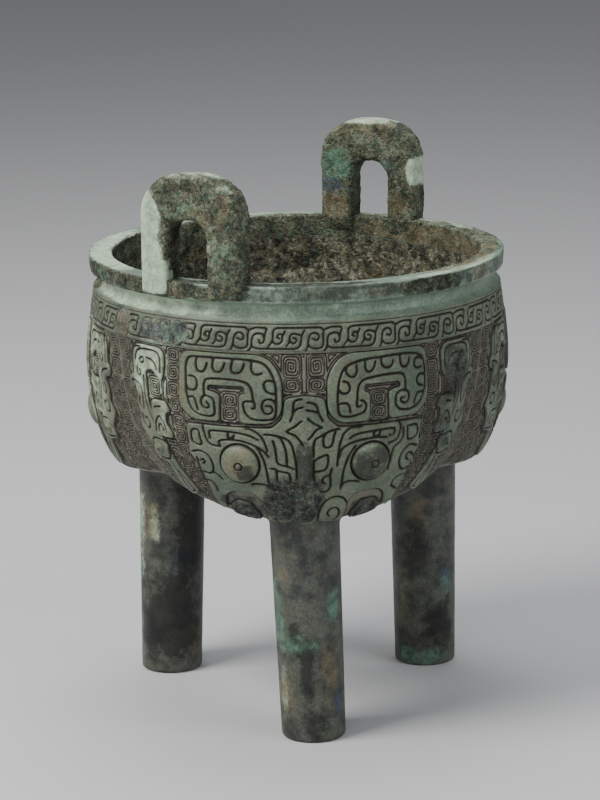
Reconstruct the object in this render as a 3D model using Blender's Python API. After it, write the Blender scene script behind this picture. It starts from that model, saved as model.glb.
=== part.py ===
"""Three-lobed bronze cooking vessel, cast as one piece.

A round flat rim with two upright loop handles sits over a bowl that swells
into three lobes. Each lobe carries an animal mask in raised relief and ends in
a solid leg. The bowl is hollow, with its lobes dished inside as well.

Units are metres, +Z is up, and the origin is on the floor under the middle of
the vessel's box. One lobe and its leg face -Y; the handles stand near +X and
-X.
"""

import math

import bmesh
import bpy
from mathutils import Vector
from mathutils.bvhtree import BVHTree
from mathutils.geometry import delaunay_2d_cdt

# Bowl and rim
RIM_RADIUS = 0.0890
RIM_HEIGHT = 0.1970
RIM_FACE = 0.0068
RIM_TAPER = 0.0004
RIM_UNDERCUT = 0.0018
LIP_WIDTH = 0.0100
NECK_RADIUS = 0.0840
NECK_HEIGHT = 0.0042
NECK_ROUNDING = 0.0007
BAND_TOP_RADIUS = 0.0870
BAND_TOP_STEP = 0.0014
BAND_WIDTH = 0.0128
BELLY_RADIUS = 0.0921
BOWL_BOTTOM = 0.0935
CROTCH_RISE = 0.0125
WALL = 0.0042
COLUMNS = 48
NORMAL_STEP = 0.0010
SEAM = 0.00001

# Lobes: how far each lobe's own circle stands off the axis, and how the
# clefts between the lobes climb towards the underside
LOBES = 3
LOBE_TURN = math.radians(-1.2)
FIRST_FOOT = math.radians(-90.0)
FIRST_LOBE = FIRST_FOOT + LOBE_TURN
LOBE_OFFSET = 0.0270
LOBE_GROWTH = 0.65
UNDERSIDE_GROWTH = 1.2
CLEFT_LIFT = 0.0095
CLEFT_FALL = 0.0125

# Legs
LEG_FOOT_RADIUS = 0.0135
LEG_TOP_RADIUS = 0.0142
LEG_SPLAY = 0.0017
LEG_FILLET = 0.0026
LEG_ROOT = 0.0020
FOOT_ROUNDING = 0.0016
LEG_SIDES = 20

# Handles
HANDLE_WIDTH = 0.0445
HANDLE_RISE = 0.0442
HANDLE_THICKNESS = 0.0130
HANDLE_SHOULDER = 0.0190
HANDLE_OPENING_WIDTH = 0.0184
HANDLE_OPENING_RISE = 0.0268
HANDLE_OPENING_ARCH = 0.0070
HANDLE_PROUD = 0.0003
HANDLE_EDGE = 0.0022
HANDLE_ROOT_OUT = 0.0058
HANDLE_ROOT_IN = 0.0130
HANDLE_TURN = math.radians(2.4)
ARCH_POWER = 2.35

# Relief, as heights above the bowl's skin
PLATE_HEIGHT = 0.0011
FEATURE_HEIGHT = 0.0018
NOSE_HEIGHT = 0.0032
EYE_HEIGHT = 0.0048
DRAGON_EYE_HEIGHT = 0.0024
GROOVE_DEPTH = 0.0009

# The carving is drawn on a flat field that is stretched over a lobe. Across, it
# runs from the mask's middle line to the clefts, and down, from the band to the
# lobe's lowest point. One unit is about a millimetre on the vessel.
FIELD_WIDTH = 95.3
FIELD_HEIGHT = 91.0
FIELD_ROWS = 9
SLOPE_WIDTH = 0.45
GROOVE_WIDTH = 1.5
CLEAR_OF_LINES = 2.4
ARC_LENGTH = 3.2
SHARP_CORNER = 1.2

# The lobe's middle line, from the band's lower edge down to the crotch, as
# shares of the belly's radius and of the height between the two
LOBE_LINE = (
    (0.963, 1.000),
    (0.985, 0.869),
    (0.999, 0.739),
    (1.000, 0.608),
    (0.992, 0.477),
    (0.973, 0.346),
    (0.948, 0.242),
    (0.917, 0.150),
    (0.877, 0.078),
    (0.810, 0.026),
    (0.701, 0.000),
)
# The underside's line, from that lowest point in to the axis, as shares of its
# radius and of the crotch's rise
UNDER_LINE = (
    (0.775, 0.200),
    (0.512, 0.600),
    (0.233, 0.888),
    (0.000, 1.000),
)

# Forms of the mask's right half on the field, as corners (across, down, radius)
HORN = (
    (9.0, 1.4, 13.0),
    (54.5, 1.4, 5.0),
    (54.5, 29.6, 10.0),
    (35.5, 29.6, 1.2),
    (35.5, 17.2, 0.0),
    (39.5, 17.2, 0.0),
    (39.5, 14.3, 0.0),
    (24.5, 14.3, 0.0),
    (24.5, 17.2, 0.0),
    (27.5, 17.2, 0.0),
    (27.5, 29.6, 1.2),
    (9.0, 29.6, 8.0),
)
FACE_SIDE = (
    (8.0, 19.0, 2.0),
    (12.5, 31.4, 3.0),
    (51.8, 31.4, 1.5),
    (51.0, 40.0, 0.0),
    (48.0, 50.0, 0.0),
    (44.5, 62.0, 3.0),
    (40.5, 74.0, 3.0),
    (36.5, 72.0, 1.5),
    (35.5, 61.0, 6.0),
    (18.5, 60.5, 5.0),
    (17.0, 79.0, 3.0),
    (6.0, 82.0, 3.0),
)
FACE_TOP = 17.4
FACE_BOTTOM = 82.0
BROW = (
    (12.6, 50.0, 0.0),
    (12.6, 33.0, 6.0),
    (40.8, 32.8, 1.2),
    (40.2, 39.5, 2.0),
    (18.0, 38.3, 4.0),
    (15.2, 50.0, 0.0),
)
EAR = (
    (43.6, 33.4, 1.5),
    (49.6, 33.4, 1.5),
    (49.6, 40.0, 2.5),
    (43.6, 40.0, 2.5),
)
CHEEK = (
    (41.0, 45.0, 2.5),
    (47.2, 43.8, 2.5),
    (43.5, 59.0, 2.0),
    (39.6, 71.0, 1.2),
    (38.2, 60.0, 2.0),
    (40.5, 53.0, 0.0),
)
JAW = (
    (18.5, 56.6, 1.2),
    (35.0, 57.4, 1.2),
    (33.0, 59.2, 0.0),
    (20.0, 59.0, 0.0),
)
NOSE_SIDE = (
    (3.2, 38.0, 0.0),
    (4.0, 56.0, 2.0),
    (10.8, 62.5, 3.0),
    (10.8, 75.0, 4.0),
    (3.0, 79.0, 0.0),
)
NOSE_TOP = 37.5
NOSE_BOTTOM = 79.6
LOZENGE_SIDE = (
    (7.5, 30.0, 0.0),
)
LOZENGE_TOP = 22.0
LOZENGE_BOTTOM = 36.4
DRAGON = (
    (63.5, 13.0, 0.0),
    (62.5, 2.0, 5.0),
    (84.0, 2.0, 7.0),
    (84.0, 15.0, 0.0),
    (86.0, 16.5, 0.0),
    (85.5, 20.5, 0.0),
    (80.8, 22.0, 0.0),
    (82.0, 28.0, 0.0),
    (80.5, 33.0, 0.0),
    (82.8, 38.0, 0.0),
    (76.5, 45.0, 0.0),
    (75.5, 51.5, 2.0),
    (66.5, 53.5, 0.0),
    (62.5, 66.0, 2.0),
    (57.5, 70.0, 2.0),
    (51.5, 66.0, 2.0),
    (59.5, 55.0, 0.0),
    (68.0, 40.0, 2.0),
    (73.6, 25.0, 4.0),
    (74.0, 13.0, 2.0),
    (79.0, 10.0, 2.0),
    (78.0, 5.6, 2.0),
    (67.0, 5.6, 3.0),
    (66.5, 13.0, 0.0),
)
LEAF = (
    (62.0, 25.5, 1.2),
    (70.4, 24.5, 2.0),
    (70.2, 34.5, 2.0),
    (63.5, 41.5, 2.0),
    (59.8, 40.5, 0.0),
    (64.0, 33.0, 0.0),
)

# Grooves of the mask's right half, as the corners of their middle lines
HORN_GROOVE = (
    (21.6, 22.4, 0.0),
    (25.2, 19.6, 1.5),
    (25.2, 26.8, 3.0),
    (12.2, 28.2, 5.0),
    (12.2, 4.4, 10.0),
    (51.4, 4.4, 4.0),
    (50.2, 26.8, 9.0),
    (38.4, 27.2, 3.0),
    (38.4, 20.4, 2.0),
    (42.4, 20.0, 0.0),
)
HORN_INNER_GROOVE = (
    (43.4, 19.0, 0.0),
    (43.4, 11.5, 3.0),
    (21.0, 11.5, 4.5),
    (21.0, 21.0, 0.0),
)
DRAGON_GROOVE = (
    (64.8, 10.0, 0.0),
    (65.0, 3.8, 2.5),
    (81.6, 3.8, 5.0),
    (81.0, 13.0, 3.0),
    (77.0, 17.0, 3.0),
    (77.4, 30.0, 4.0),
    (74.0, 39.5, 0.0),
)

# Round bosses on the field: (across, down, radius)
EYE = (27.5, 46.2, 8.6)
DRAGON_EYE = (70.8, 46.6, 2.4)
BOSS_SHARES = (1.0, 0.9, 0.66, 0.34)
BOSS_SEGMENTS = 12
SMALL_BOSS_SEGMENTS = 6


def clear_scene():
    """Remove whatever the scene holds."""
    for item in list(bpy.data.objects):
        bpy.data.objects.remove(item, do_unlink=True)


def make_collection(name):
    """Add a collection to the scene."""
    collection = bpy.data.collections.new(name)
    bpy.context.scene.collection.children.link(collection)
    return collection


def make_material(name, color, roughness, metallic):
    """Make a Principled material."""
    material = bpy.data.materials.new(name)
    material.use_nodes = True
    shader = material.node_tree.nodes["Principled BSDF"]
    shader.inputs["Base Color"].default_value = (*color, 1.0)
    shader.inputs["Roughness"].default_value = roughness
    shader.inputs["Metallic"].default_value = metallic
    return material


# Surface of the bowl

def band_bottom():
    """Height of the band's lower edge, where the lobes begin."""
    return RIM_HEIGHT - RIM_FACE - RIM_UNDERCUT - NECK_HEIGHT - BAND_TOP_STEP - BAND_WIDTH


def low_radius():
    """Radius at which a lobe hangs lowest, over its leg."""
    return LOBE_LINE[-1][0] * BELLY_RADIUS


def lobe_points():
    """Radius and height of the points along a lobe's middle line."""
    rise = band_bottom() - BOWL_BOTTOM
    side = [(BELLY_RADIUS * r, BOWL_BOTTOM + rise * h) for r, h in LOBE_LINE]
    under = [(low_radius() * r, BOWL_BOTTOM + CROTCH_RISE * h) for r, h in UNDER_LINE]
    return side + under


POINTS = lobe_points()
DISTANCES = [0.0]
for start, end in zip(POINTS, POINTS[1:]):
    DISTANCES.append(DISTANCES[-1] + math.dist(start, end))
SIDE_LENGTH = DISTANCES[len(LOBE_LINE) - 1]
LINE_LENGTH = DISTANCES[-1]


def line_at(distance):
    """Radius and height on the lobe's middle line, by a smooth spline."""
    distance = min(max(distance, 0.0), LINE_LENGTH)
    index = 0
    while index < len(POINTS) - 2 and distance > DISTANCES[index + 1]:
        index += 1
    before = POINTS[max(index - 1, 0)]
    start = POINTS[index]
    end = POINTS[index + 1]
    after = POINTS[min(index + 2, len(POINTS) - 1)]
    t = (distance - DISTANCES[index]) / (DISTANCES[index + 1] - DISTANCES[index])
    weights = (
        -0.5 * t ** 3 + t ** 2 - 0.5 * t,
        1.5 * t ** 3 - 2.5 * t ** 2 + 1.0,
        -1.5 * t ** 3 + 2.0 * t ** 2 + 0.5 * t,
        0.5 * t ** 3 - 0.5 * t ** 2,
    )
    corners = (before, start, end, after)
    radius = sum(w * p[0] for w, p in zip(weights, corners))
    height = sum(w * p[1] for w, p in zip(weights, corners))
    return max(radius, 0.0), height


def off_lobe(angle):
    """Angle from the nearest lobe's middle."""
    step = 2.0 * math.pi / LOBES
    return (angle - FIRST_LOBE + step / 2.0) % step - step / 2.0


def skin(angle, distance):
    """Point on the bowl's outer skin, by its angle and its distance below the band."""
    radius, height = line_at(distance)
    if distance <= SIDE_LENGTH:
        fall = (band_bottom() - height) / (band_bottom() - BOWL_BOTTOM)
        offset = LOBE_OFFSET * min(max(fall, 0.0), 1.0) ** LOBE_GROWTH
        lift = CLEFT_LIFT * math.exp((BOWL_BOTTOM - height) / CLEFT_FALL)
    else:
        offset = LOBE_OFFSET * (radius / low_radius()) ** UNDERSIDE_GROWTH
        lift = CLEFT_LIFT * (BOWL_BOTTOM + CROTCH_RISE - height) / CROTCH_RISE
    local = off_lobe(angle)
    across = offset * math.sin(local)
    reach = offset * math.cos(local) + math.sqrt(max((radius - offset) ** 2 - across ** 2, 0.0))
    height += lift * (1.0 - math.cos(LOBES * local)) / 2.0
    return Vector((reach * math.cos(angle), reach * math.sin(angle), height))


def skin_normal(angle, distance):
    """Outward direction of the bowl's skin."""
    turn = NORMAL_STEP / BELLY_RADIUS
    distance = min(max(distance, NORMAL_STEP), LINE_LENGTH - NORMAL_STEP)
    across = skin(angle + turn, distance) - skin(angle - turn, distance)
    down = skin(angle, distance + NORMAL_STEP) - skin(angle, distance - NORMAL_STEP)
    return down.cross(across).normalized()


# Bowl

def add_ring(bm, place):
    """Add one ring of vertices, each placed by its angle."""
    step = 2.0 * math.pi / COLUMNS
    return [bm.verts.new(place(FIRST_LOBE + step * index)) for index in range(COLUMNS)]


def round_ring(radius, height):
    """Placing rule of a plain circle."""
    return lambda angle: Vector((radius * math.cos(angle), radius * math.sin(angle), height))


def bridge(bm, upper, lower):
    """Join two rings of as many vertices with faces."""
    count = len(upper)
    for index in range(count):
        after = (index + 1) % count
        bm.faces.new((upper[index], lower[index], lower[after], upper[after]))


def close_ring(bm, ring, tip):
    """Join a ring to one vertex."""
    for index, vert in enumerate(ring):
        bm.faces.new((vert, tip, ring[(index + 1) % len(ring)]))


def neck_rings():
    """Radius and height of the round stretch from the rim's edge to the band's foot."""
    under_rim = RIM_HEIGHT - RIM_FACE
    neck_top = under_rim - RIM_UNDERCUT
    neck_foot = neck_top - NECK_HEIGHT
    return (
        (RIM_RADIUS, RIM_HEIGHT),
        (RIM_RADIUS - RIM_TAPER, under_rim),
        (NECK_RADIUS + NECK_ROUNDING, neck_top),
        (NECK_RADIUS, neck_top - NECK_HEIGHT / 2.0),
        (NECK_RADIUS + NECK_ROUNDING, neck_foot),
        (BAND_TOP_RADIUS, neck_foot - BAND_TOP_STEP),
    )


def make_bowl(collection, material):
    """Hollow bowl with its flat rim, as one closed mesh."""
    bm = bmesh.new()
    neck = [add_ring(bm, round_ring(radius, height)) for radius, height in neck_rings()]
    neck.append(add_ring(bm, lambda angle: skin(angle, 0.0)))
    steps = DISTANCES[len(LOBE_LINE) - 1:-1]
    under = [add_ring(bm, lambda angle, d=step: skin(angle, d)) for step in steps]
    bottom = bm.verts.new((0.0, 0.0, BOWL_BOTTOM + CROTCH_RISE))
    places, faces = draw_mask()
    for lobe in range(LOBES):
        add_lobe(bm, lobe, places, faces)

    def lining(angle, distance):
        return skin(angle, distance) - WALL * skin_normal(angle, distance)

    neck_radius, neck_height = neck_rings()[3]
    band_radius, band_height = neck_rings()[5]
    inner = [
        add_ring(bm, round_ring(RIM_RADIUS - LIP_WIDTH, RIM_HEIGHT)),
        add_ring(bm, round_ring(neck_radius - WALL, neck_height)),
        add_ring(bm, round_ring(band_radius - WALL, band_height)),
    ]
    steps = DISTANCES[0:-2:2] + [DISTANCES[-2]]
    inner += [add_ring(bm, lambda angle, d=step: lining(angle, d)) for step in steps]
    floor = bm.verts.new((0.0, 0.0, BOWL_BOTTOM + CROTCH_RISE + WALL))

    for rings in (neck, under):
        for upper, lower in zip(rings, rings[1:]):
            bridge(bm, upper, lower)
    close_ring(bm, under[-1], bottom)
    for upper, lower in zip(inner, inner[1:]):
        bridge(bm, upper, lower)
    close_ring(bm, inner[-1], floor)
    bridge(bm, neck[0], inner[0])
    bmesh.ops.remove_doubles(bm, verts=bm.verts, dist=SEAM)
    bmesh.ops.recalc_face_normals(bm, faces=bm.faces)
    return finish(bm, "vessel", collection, material)


def finish(bm, name, collection, material=None):
    """Turn the working mesh into an object of the collection."""
    mesh = bpy.data.meshes.new(name)
    bm.to_mesh(mesh)
    bm.free()
    thing = bpy.data.objects.new(name, mesh)
    collection.objects.link(thing)
    if material is not None:
        mesh.materials.append(material)
    return thing


def finish_casting(bm, name, castings):
    """Make a form that is cast onto the bowl, hidden as the union's operand."""
    bmesh.ops.recalc_face_normals(bm, faces=bm.faces)
    thing = finish(bm, name, castings)
    thing.hide_render = True
    thing.display_type = "WIRE"
    return thing


# Relief

def rounded(corners, closed=True):
    """Line through the corners, with an arc in place of each that has a radius."""
    line = []
    last = len(corners) - 1
    for index, (x, y, radius) in enumerate(corners):
        here = Vector((x, y))
        if radius < SHARP_CORNER or (not closed and index in (0, last)):
            line.append(here)
            continue
        before = Vector(corners[index - 1][:2]) - here
        after = Vector(corners[(index + 1) % len(corners)][:2]) - here
        half = before.angle(after) / 2.0
        reach = min(radius / math.tan(half), 0.49 * before.length, 0.49 * after.length)
        radius = reach * math.tan(half)
        centre = here + (before.normalized() + after.normalized()).normalized() * (radius / math.sin(half))
        start = here + before.normalized() * reach - centre
        end = here + after.normalized() * reach - centre
        sweep = math.atan2(start.cross(end), start.dot(end))
        steps = max(round(abs(sweep) * radius / ARC_LENGTH), 1)
        for step in range(steps + 1):
            turn = sweep * step / steps
            cos, sin = math.cos(turn), math.sin(turn)
            line.append(centre + Vector((start.x * cos - start.y * sin, start.x * sin + start.y * cos)))
    return line


def mirrored(side, top, bottom):
    """Whole outline of a form across the mask's middle line, from its right side."""
    right = rounded(((0.0, top, 0.0), *side, (0.0, bottom, 0.0)), closed=False)
    left = [Vector((-point.x, point.y)) for point in reversed(right[1:-1])]
    return right + left


def flipped(line):
    """The same line on the mask's left half."""
    return [Vector((-point.x, point.y)) for point in reversed(line)]


def shifted(line, distance, closed=True):
    """Line moved sideways to its left by a distance."""
    moved = []
    last = len(line) - 1
    for index, point in enumerate(line):
        before = point - line[index - 1]
        after = line[(index + 1) % len(line)] - point
        if not closed and index == 0:
            before = after
        if not closed and index == last:
            after = before
        normal_before = Vector((-before.y, before.x)).normalized()
        normal_after = Vector((-after.y, after.x)).normalized()
        together = normal_before + normal_after
        moved.append(point + together * (distance / max(1.0 + normal_before.dot(normal_after), 0.5)))
    return moved


def inset(outline, distance):
    """Closed outline shrunk by a distance."""
    area = sum(a.cross(b) for a, b in zip(outline, outline[1:] + outline[:1]))
    return shifted(outline, distance if area > 0.0 else -distance)


def contains(outline, point):
    """Whether a point lies inside a closed outline."""
    inside = False
    for a, b in zip(outline, outline[1:] + outline[:1]):
        if (a.y > point.y) != (b.y > point.y):
            crossing = a.x + (point.y - a.y) / (b.y - a.y) * (b.x - a.x)
            inside = inside != (point.x < crossing)
    return inside


def clearance(lines, point):
    """Distance from a point to the nearest of the lines' stretches."""
    nearest = FIELD_WIDTH
    for line in lines:
        for a, b in zip(line, line[1:] + line[:1]):
            span = b - a
            share = min(max((point - a).dot(span) / max(span.length_squared, 1e-9), 0.0), 1.0)
            nearest = min(nearest, (a + span * share - point).length)
    return nearest


class Field:
    """Flat drawing of a lobe's carving, as lines with a height on each point."""

    def __init__(self):
        self.plateaus = []
        self.lines = []
        self.points = []
        self.floors = []
        self.edges = []

    def height(self, point):
        """Height of the highest plateau under a point."""
        return max((height for outline, height in self.plateaus if contains(outline, point)), default=0.0)

    def add_line(self, line, floor, closed=True):
        """Draw a line whose points are at least as high as the floor value."""
        first = len(self.points)
        self.points += line
        self.floors += [floor] * len(line)
        count = len(line)
        self.edges += [(first + i, first + (i + 1) % count) for i in range(count if closed else count - 1)]
        self.lines.append(line)

    def add_plate(self, outline, height):
        """Draw a raised plate with sloped sides."""
        top = inset(outline, SLOPE_WIDTH)
        self.plateaus.append((top, height))
        self.add_line(outline, 0.0)
        self.add_line(top, height)

    def add_groove(self, middle):
        """Draw a groove along an open line, as its two lips and its bottom."""
        left = shifted(middle, GROOVE_WIDTH / 2.0, closed=False)
        right = shifted(middle, -GROOVE_WIDTH / 2.0, closed=False)
        self.add_line(left + right[::-1], 0.0)
        self.add_line(middle[1:-1], None, closed=False)

    def add_boss(self, spot, turn_sign, height, segments):
        """Draw a dome as rings of points."""
        across, down, radius = spot
        base = self.height(Vector((turn_sign * across, down)))
        for share in BOSS_SHARES:
            ring = []
            for index in range(segments):
                angle = 2.0 * math.pi * index / segments
                x = turn_sign * across + radius * share * math.cos(angle)
                ring.append(Vector((x, down + radius * share * math.sin(angle))))
            self.add_line(ring, base + (height - base) * math.sqrt(1.0 - share * share))
        self.points.append(Vector((turn_sign * across, down)))
        self.floors.append(height)

    def add_grid(self):
        """Fill the gaps between the lines with evenly spaced points."""
        columns = COLUMNS // LOBES
        for column in range(columns + 1):
            for row in range(FIELD_ROWS + 1):
                point = Vector((FIELD_WIDTH * (2.0 * column / columns - 1.0), FIELD_HEIGHT * row / FIELD_ROWS))
                edge = column in (0, columns) or row in (0, FIELD_ROWS)
                if edge or clearance(self.lines, point) > CLEAR_OF_LINES:
                    self.points.append(point)
                    self.floors.append(0.0)

    def triangles(self):
        """Triangulate the drawing, as places on the field with heights and faces."""
        made = delaunay_2d_cdt(self.points, self.edges, [], 0, 1e-4)
        places = []
        for point, sources in zip(made[0], made[3]):
            floors = [self.floors[source] for source in sources]
            if any(floor is None for floor in floors):
                height = self.height(point) - GROOVE_DEPTH
            else:
                height = max(floors + [self.height(point)])
            places.append((point.x, point.y, height))
        return places, made[2]


def over_lobe(lobe, place):
    """Place a field point (across, down, height) on a lobe of the bowl."""
    middle = FIRST_LOBE + 2.0 * math.pi * lobe / LOBES
    angle = middle + place[0] / FIELD_WIDTH * math.pi / LOBES
    distance = place[1] / FIELD_HEIGHT * SIDE_LENGTH
    if place[2] == 0.0:
        return skin(angle, distance)
    return skin(angle, distance) + skin_normal(angle, distance) * place[2]


def draw_mask():
    """Animal mask with a dragon on each side of it, drawn for one lobe."""
    field = Field()
    wide = (
        (mirrored(FACE_SIDE, FACE_TOP, FACE_BOTTOM), PLATE_HEIGHT),
        (mirrored(LOZENGE_SIDE, LOZENGE_TOP, LOZENGE_BOTTOM), FEATURE_HEIGHT),
        (mirrored(NOSE_SIDE, NOSE_TOP, NOSE_BOTTOM), NOSE_HEIGHT),
    )
    paired = (
        (HORN, PLATE_HEIGHT),
        (BROW, FEATURE_HEIGHT),
        (EAR, FEATURE_HEIGHT),
        (CHEEK, FEATURE_HEIGHT),
        (JAW, FEATURE_HEIGHT),
        (DRAGON, PLATE_HEIGHT),
        (LEAF, PLATE_HEIGHT),
    )
    outlines = list(wide)
    for corners, height in paired:
        outlines.append((rounded(corners), height))
        outlines.append((flipped(rounded(corners)), height))
    for outline, height in outlines:
        field.add_plate(outline, height)
    for corners in (HORN_GROOVE, HORN_INNER_GROOVE, DRAGON_GROOVE):
        middle = rounded(corners, closed=False)
        for line in (middle, flipped(middle)):
            field.add_groove(line)
    for sign in (-1, 1):
        field.add_boss(EYE, sign, EYE_HEIGHT, BOSS_SEGMENTS)
        field.add_boss(DRAGON_EYE, sign, DRAGON_EYE_HEIGHT, SMALL_BOSS_SEGMENTS)
    field.add_grid()
    return field.triangles()


def add_lobe(bm, lobe, places, faces):
    """Lay the drawn mask over one lobe."""
    verts = [bm.verts.new(over_lobe(lobe, place)) for place in places]
    for face in faces:
        bm.faces.new([verts[index] for index in face])


# Legs

def make_leg(lobe, bowl_tree, castings):
    """Solid leg, round in section, whose top follows the lobe that it grows from."""
    turn = 2.0 * math.pi * lobe / LOBES
    top_circle = low_radius()
    foot_circle = top_circle + LEG_SPLAY
    foot = foot_circle * Vector((math.cos(FIRST_FOOT + turn), math.sin(FIRST_FOOT + turn), 0.0))
    top = top_circle * Vector((math.cos(FIRST_LOBE + turn), math.sin(FIRST_LOBE + turn), 0.0))
    bm = bmesh.new()

    def ring(radius, height, share):
        centre = foot.lerp(top, share)
        ring_verts = []
        for index in range(LEG_SIDES):
            angle = 2.0 * math.pi * index / LEG_SIDES
            spot = centre + Vector((radius * math.cos(angle), radius * math.sin(angle), height))
            ring_verts.append(bm.verts.new(spot))
        return ring_verts

    def ring_under_bowl(radius, below):
        ring_verts = ring(radius, 0.0, 1.0)
        for vert in ring_verts:
            hit = bowl_tree.ray_cast(vert.co, Vector((0.0, 0.0, 1.0)))[0]
            vert.co.z = hit.z - below
        return ring_verts

    flared = LEG_TOP_RADIUS + LEG_FILLET
    rings = [
        ring(LEG_FOOT_RADIUS - FOOT_ROUNDING, 0.0, 0.0),
        ring(LEG_FOOT_RADIUS - 0.3 * FOOT_ROUNDING, 0.3 * FOOT_ROUNDING, 0.0),
        ring(LEG_FOOT_RADIUS, FOOT_ROUNDING, 0.0),
        ring(LEG_TOP_RADIUS, BOWL_BOTTOM - 3.0 * LEG_FILLET, 1.0),
        ring_under_bowl(LEG_TOP_RADIUS + 0.2 * LEG_FILLET, LEG_FILLET),
        ring_under_bowl(flared, 0.2 * LEG_FILLET),
        ring_under_bowl(flared, -LEG_ROOT),
    ]
    for lower, upper in zip(rings, rings[1:]):
        bridge(bm, upper, lower)
    sole = bm.faces.new(rings[0])
    sole.smooth = False
    crown = bowl_tree.ray_cast(top, Vector((0.0, 0.0, 1.0)))[0]
    close_ring(bm, rings[-1], bm.verts.new(crown + Vector((0.0, 0.0, LEG_ROOT))))
    return finish_casting(bm, f"leg_{lobe}", castings)


# Handles

def arch_line(half_width, crown, arch, foot, steps):
    """Outline of half an arch, from its foot up to its crown, as (across, height)."""
    line = [(half_width, foot), (half_width, (foot + crown - arch) / 2.0)]
    for step in range(steps + 1):
        angle = math.pi / 2.0 * step / steps
        across = half_width * math.cos(angle) ** (2.0 / ARCH_POWER)
        height = crown - arch + arch * math.sin(angle) ** (2.0 / ARCH_POWER)
        line.append((across, height))
    return line + [(-across, height) for across, height in reversed(line[:-1])]


def handle_section(width):
    """Rounded rectangle of a handle's bar, as (share from outer to inner edge, depth)."""
    edge = min(HANDLE_EDGE, 0.4 * width)
    share = edge / width
    depth = HANDLE_THICKNESS / 2.0
    corner = (0.29 * share, depth - 0.29 * edge)
    quarter = ((0.0, depth - edge), corner, (share, depth))
    half = list(quarter) + [(1.0 - s, d) for s, d in reversed(quarter)]
    return half + [(s, -d) for s, d in reversed(half)]


def make_handle(side, castings):
    """Flat upright loop handle, rooted in the rim and the wall."""
    foot = RIM_HEIGHT - HANDLE_ROOT_IN
    outer = arch_line(HANDLE_WIDTH / 2.0, RIM_HEIGHT + HANDLE_RISE, HANDLE_SHOULDER, foot, 5)
    inner = arch_line(HANDLE_OPENING_WIDTH / 2.0, RIM_HEIGHT + HANDLE_OPENING_RISE,
                      HANDLE_OPENING_ARCH, foot, 5)
    middle = RIM_RADIUS + HANDLE_PROUD - HANDLE_THICKNESS / 2.0
    facing = -HANDLE_TURN if side > 0 else math.pi + HANDLE_TURN
    outward = Vector((math.cos(facing), math.sin(facing)))
    sideways = Vector((-outward.y, outward.x))
    slant = (HANDLE_ROOT_IN - HANDLE_ROOT_OUT) / HANDLE_THICKNESS
    bm = bmesh.new()
    rings = []
    for (outer_across, outer_height), (inner_across, inner_height) in zip(outer, inner):
        width = math.hypot(outer_across - inner_across, outer_height - inner_height)
        ring = []
        for share, depth in handle_section(width):
            across = outer_across + (inner_across - outer_across) * share
            height = outer_height + (inner_height - outer_height) * share
            if len(rings) in (0, len(outer) - 1):
                height += slant * (depth + HANDLE_THICKNESS / 2.0)
            spot = outward * (middle + depth) + sideways * across
            ring.append(bm.verts.new((spot.x, spot.y, height)))
        rings.append(ring)
    for before, after in zip(rings, rings[1:]):
        bridge(bm, before, after)
    bm.faces.new(rings[0])
    bm.faces.new(rings[-1])
    return finish_casting(bm, f"handle_{'right' if side > 0 else 'left'}", castings)


def join_castings(bowl, castings):
    """Unite the bowl with everything that is cast onto it."""
    union = bowl.modifiers.new("castings", "BOOLEAN")
    union.operation = "UNION"
    union.operand_type = "COLLECTION"
    union.collection = castings
    union.solver = "EXACT"


def centre_over_origin(things):
    """Stand the vessel with the middle of its box over the origin."""
    corners = [vert.co for thing in things for vert in thing.data.vertices]
    middle = Vector((
        (min(corner.x for corner in corners) + max(corner.x for corner in corners)) / 2.0,
        (min(corner.y for corner in corners) + max(corner.y for corner in corners)) / 2.0,
        0.0,
    ))
    for thing in things:
        thing.location = -middle


def main():
    """Build the vessel."""
    clear_scene()
    parts = make_collection("Ritual cooking vessel")
    castings = make_collection("Castings")
    bronze = make_material("Patinated bronze", (0.20, 0.25, 0.18), 0.62, 0.35)
    bowl = make_bowl(parts, bronze)
    mesh = bowl.data
    corners = [vert.co.copy() for vert in mesh.vertices]
    bowl_tree = BVHTree.FromPolygons(corners, [list(face.vertices) for face in mesh.polygons])
    for lobe in range(LOBES):
        make_leg(lobe, bowl_tree, castings)
    for side in (1, -1):
        make_handle(side, castings)
    centre_over_origin([bowl, *castings.objects])
    join_castings(bowl, castings)


main()
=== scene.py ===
"""Dresses the cast bronze cooking vessel in its carving, crust and patina.

The vessel is one casting: a collar with a flat rim, a bowl of three lobes with
an animal mask on each, three legs and two loop handles. Lengths are metres in
the frame of the CAD part, unless a name ends in _mm. A lobe's carving is drawn
flat, in millimetres: across from the mask's middle line to the clefts, and down
from the foot of the spiral band to the lobe's lowest point.
"""

import logging
import math
from dataclasses import dataclass
from enum import Enum

import bpy
import numpy as np
from mathutils import Matrix, Vector
from mathutils.geometry import delaunay_2d_cdt


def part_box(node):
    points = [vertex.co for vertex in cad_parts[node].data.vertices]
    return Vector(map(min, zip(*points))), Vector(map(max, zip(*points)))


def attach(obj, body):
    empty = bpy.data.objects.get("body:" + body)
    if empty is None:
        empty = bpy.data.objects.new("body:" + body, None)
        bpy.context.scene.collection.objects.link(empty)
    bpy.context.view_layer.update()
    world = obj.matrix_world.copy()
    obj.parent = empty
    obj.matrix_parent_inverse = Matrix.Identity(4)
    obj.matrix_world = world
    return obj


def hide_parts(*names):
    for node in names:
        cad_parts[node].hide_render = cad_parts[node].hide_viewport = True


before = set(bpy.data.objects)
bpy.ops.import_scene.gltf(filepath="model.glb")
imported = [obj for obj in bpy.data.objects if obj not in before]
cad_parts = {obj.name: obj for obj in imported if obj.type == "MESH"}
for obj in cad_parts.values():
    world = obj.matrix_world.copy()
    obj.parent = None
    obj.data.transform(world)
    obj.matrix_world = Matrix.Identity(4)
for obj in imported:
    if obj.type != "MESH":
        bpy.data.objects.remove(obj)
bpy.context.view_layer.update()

LOG = logging.getLogger("cooking_vessel")
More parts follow.
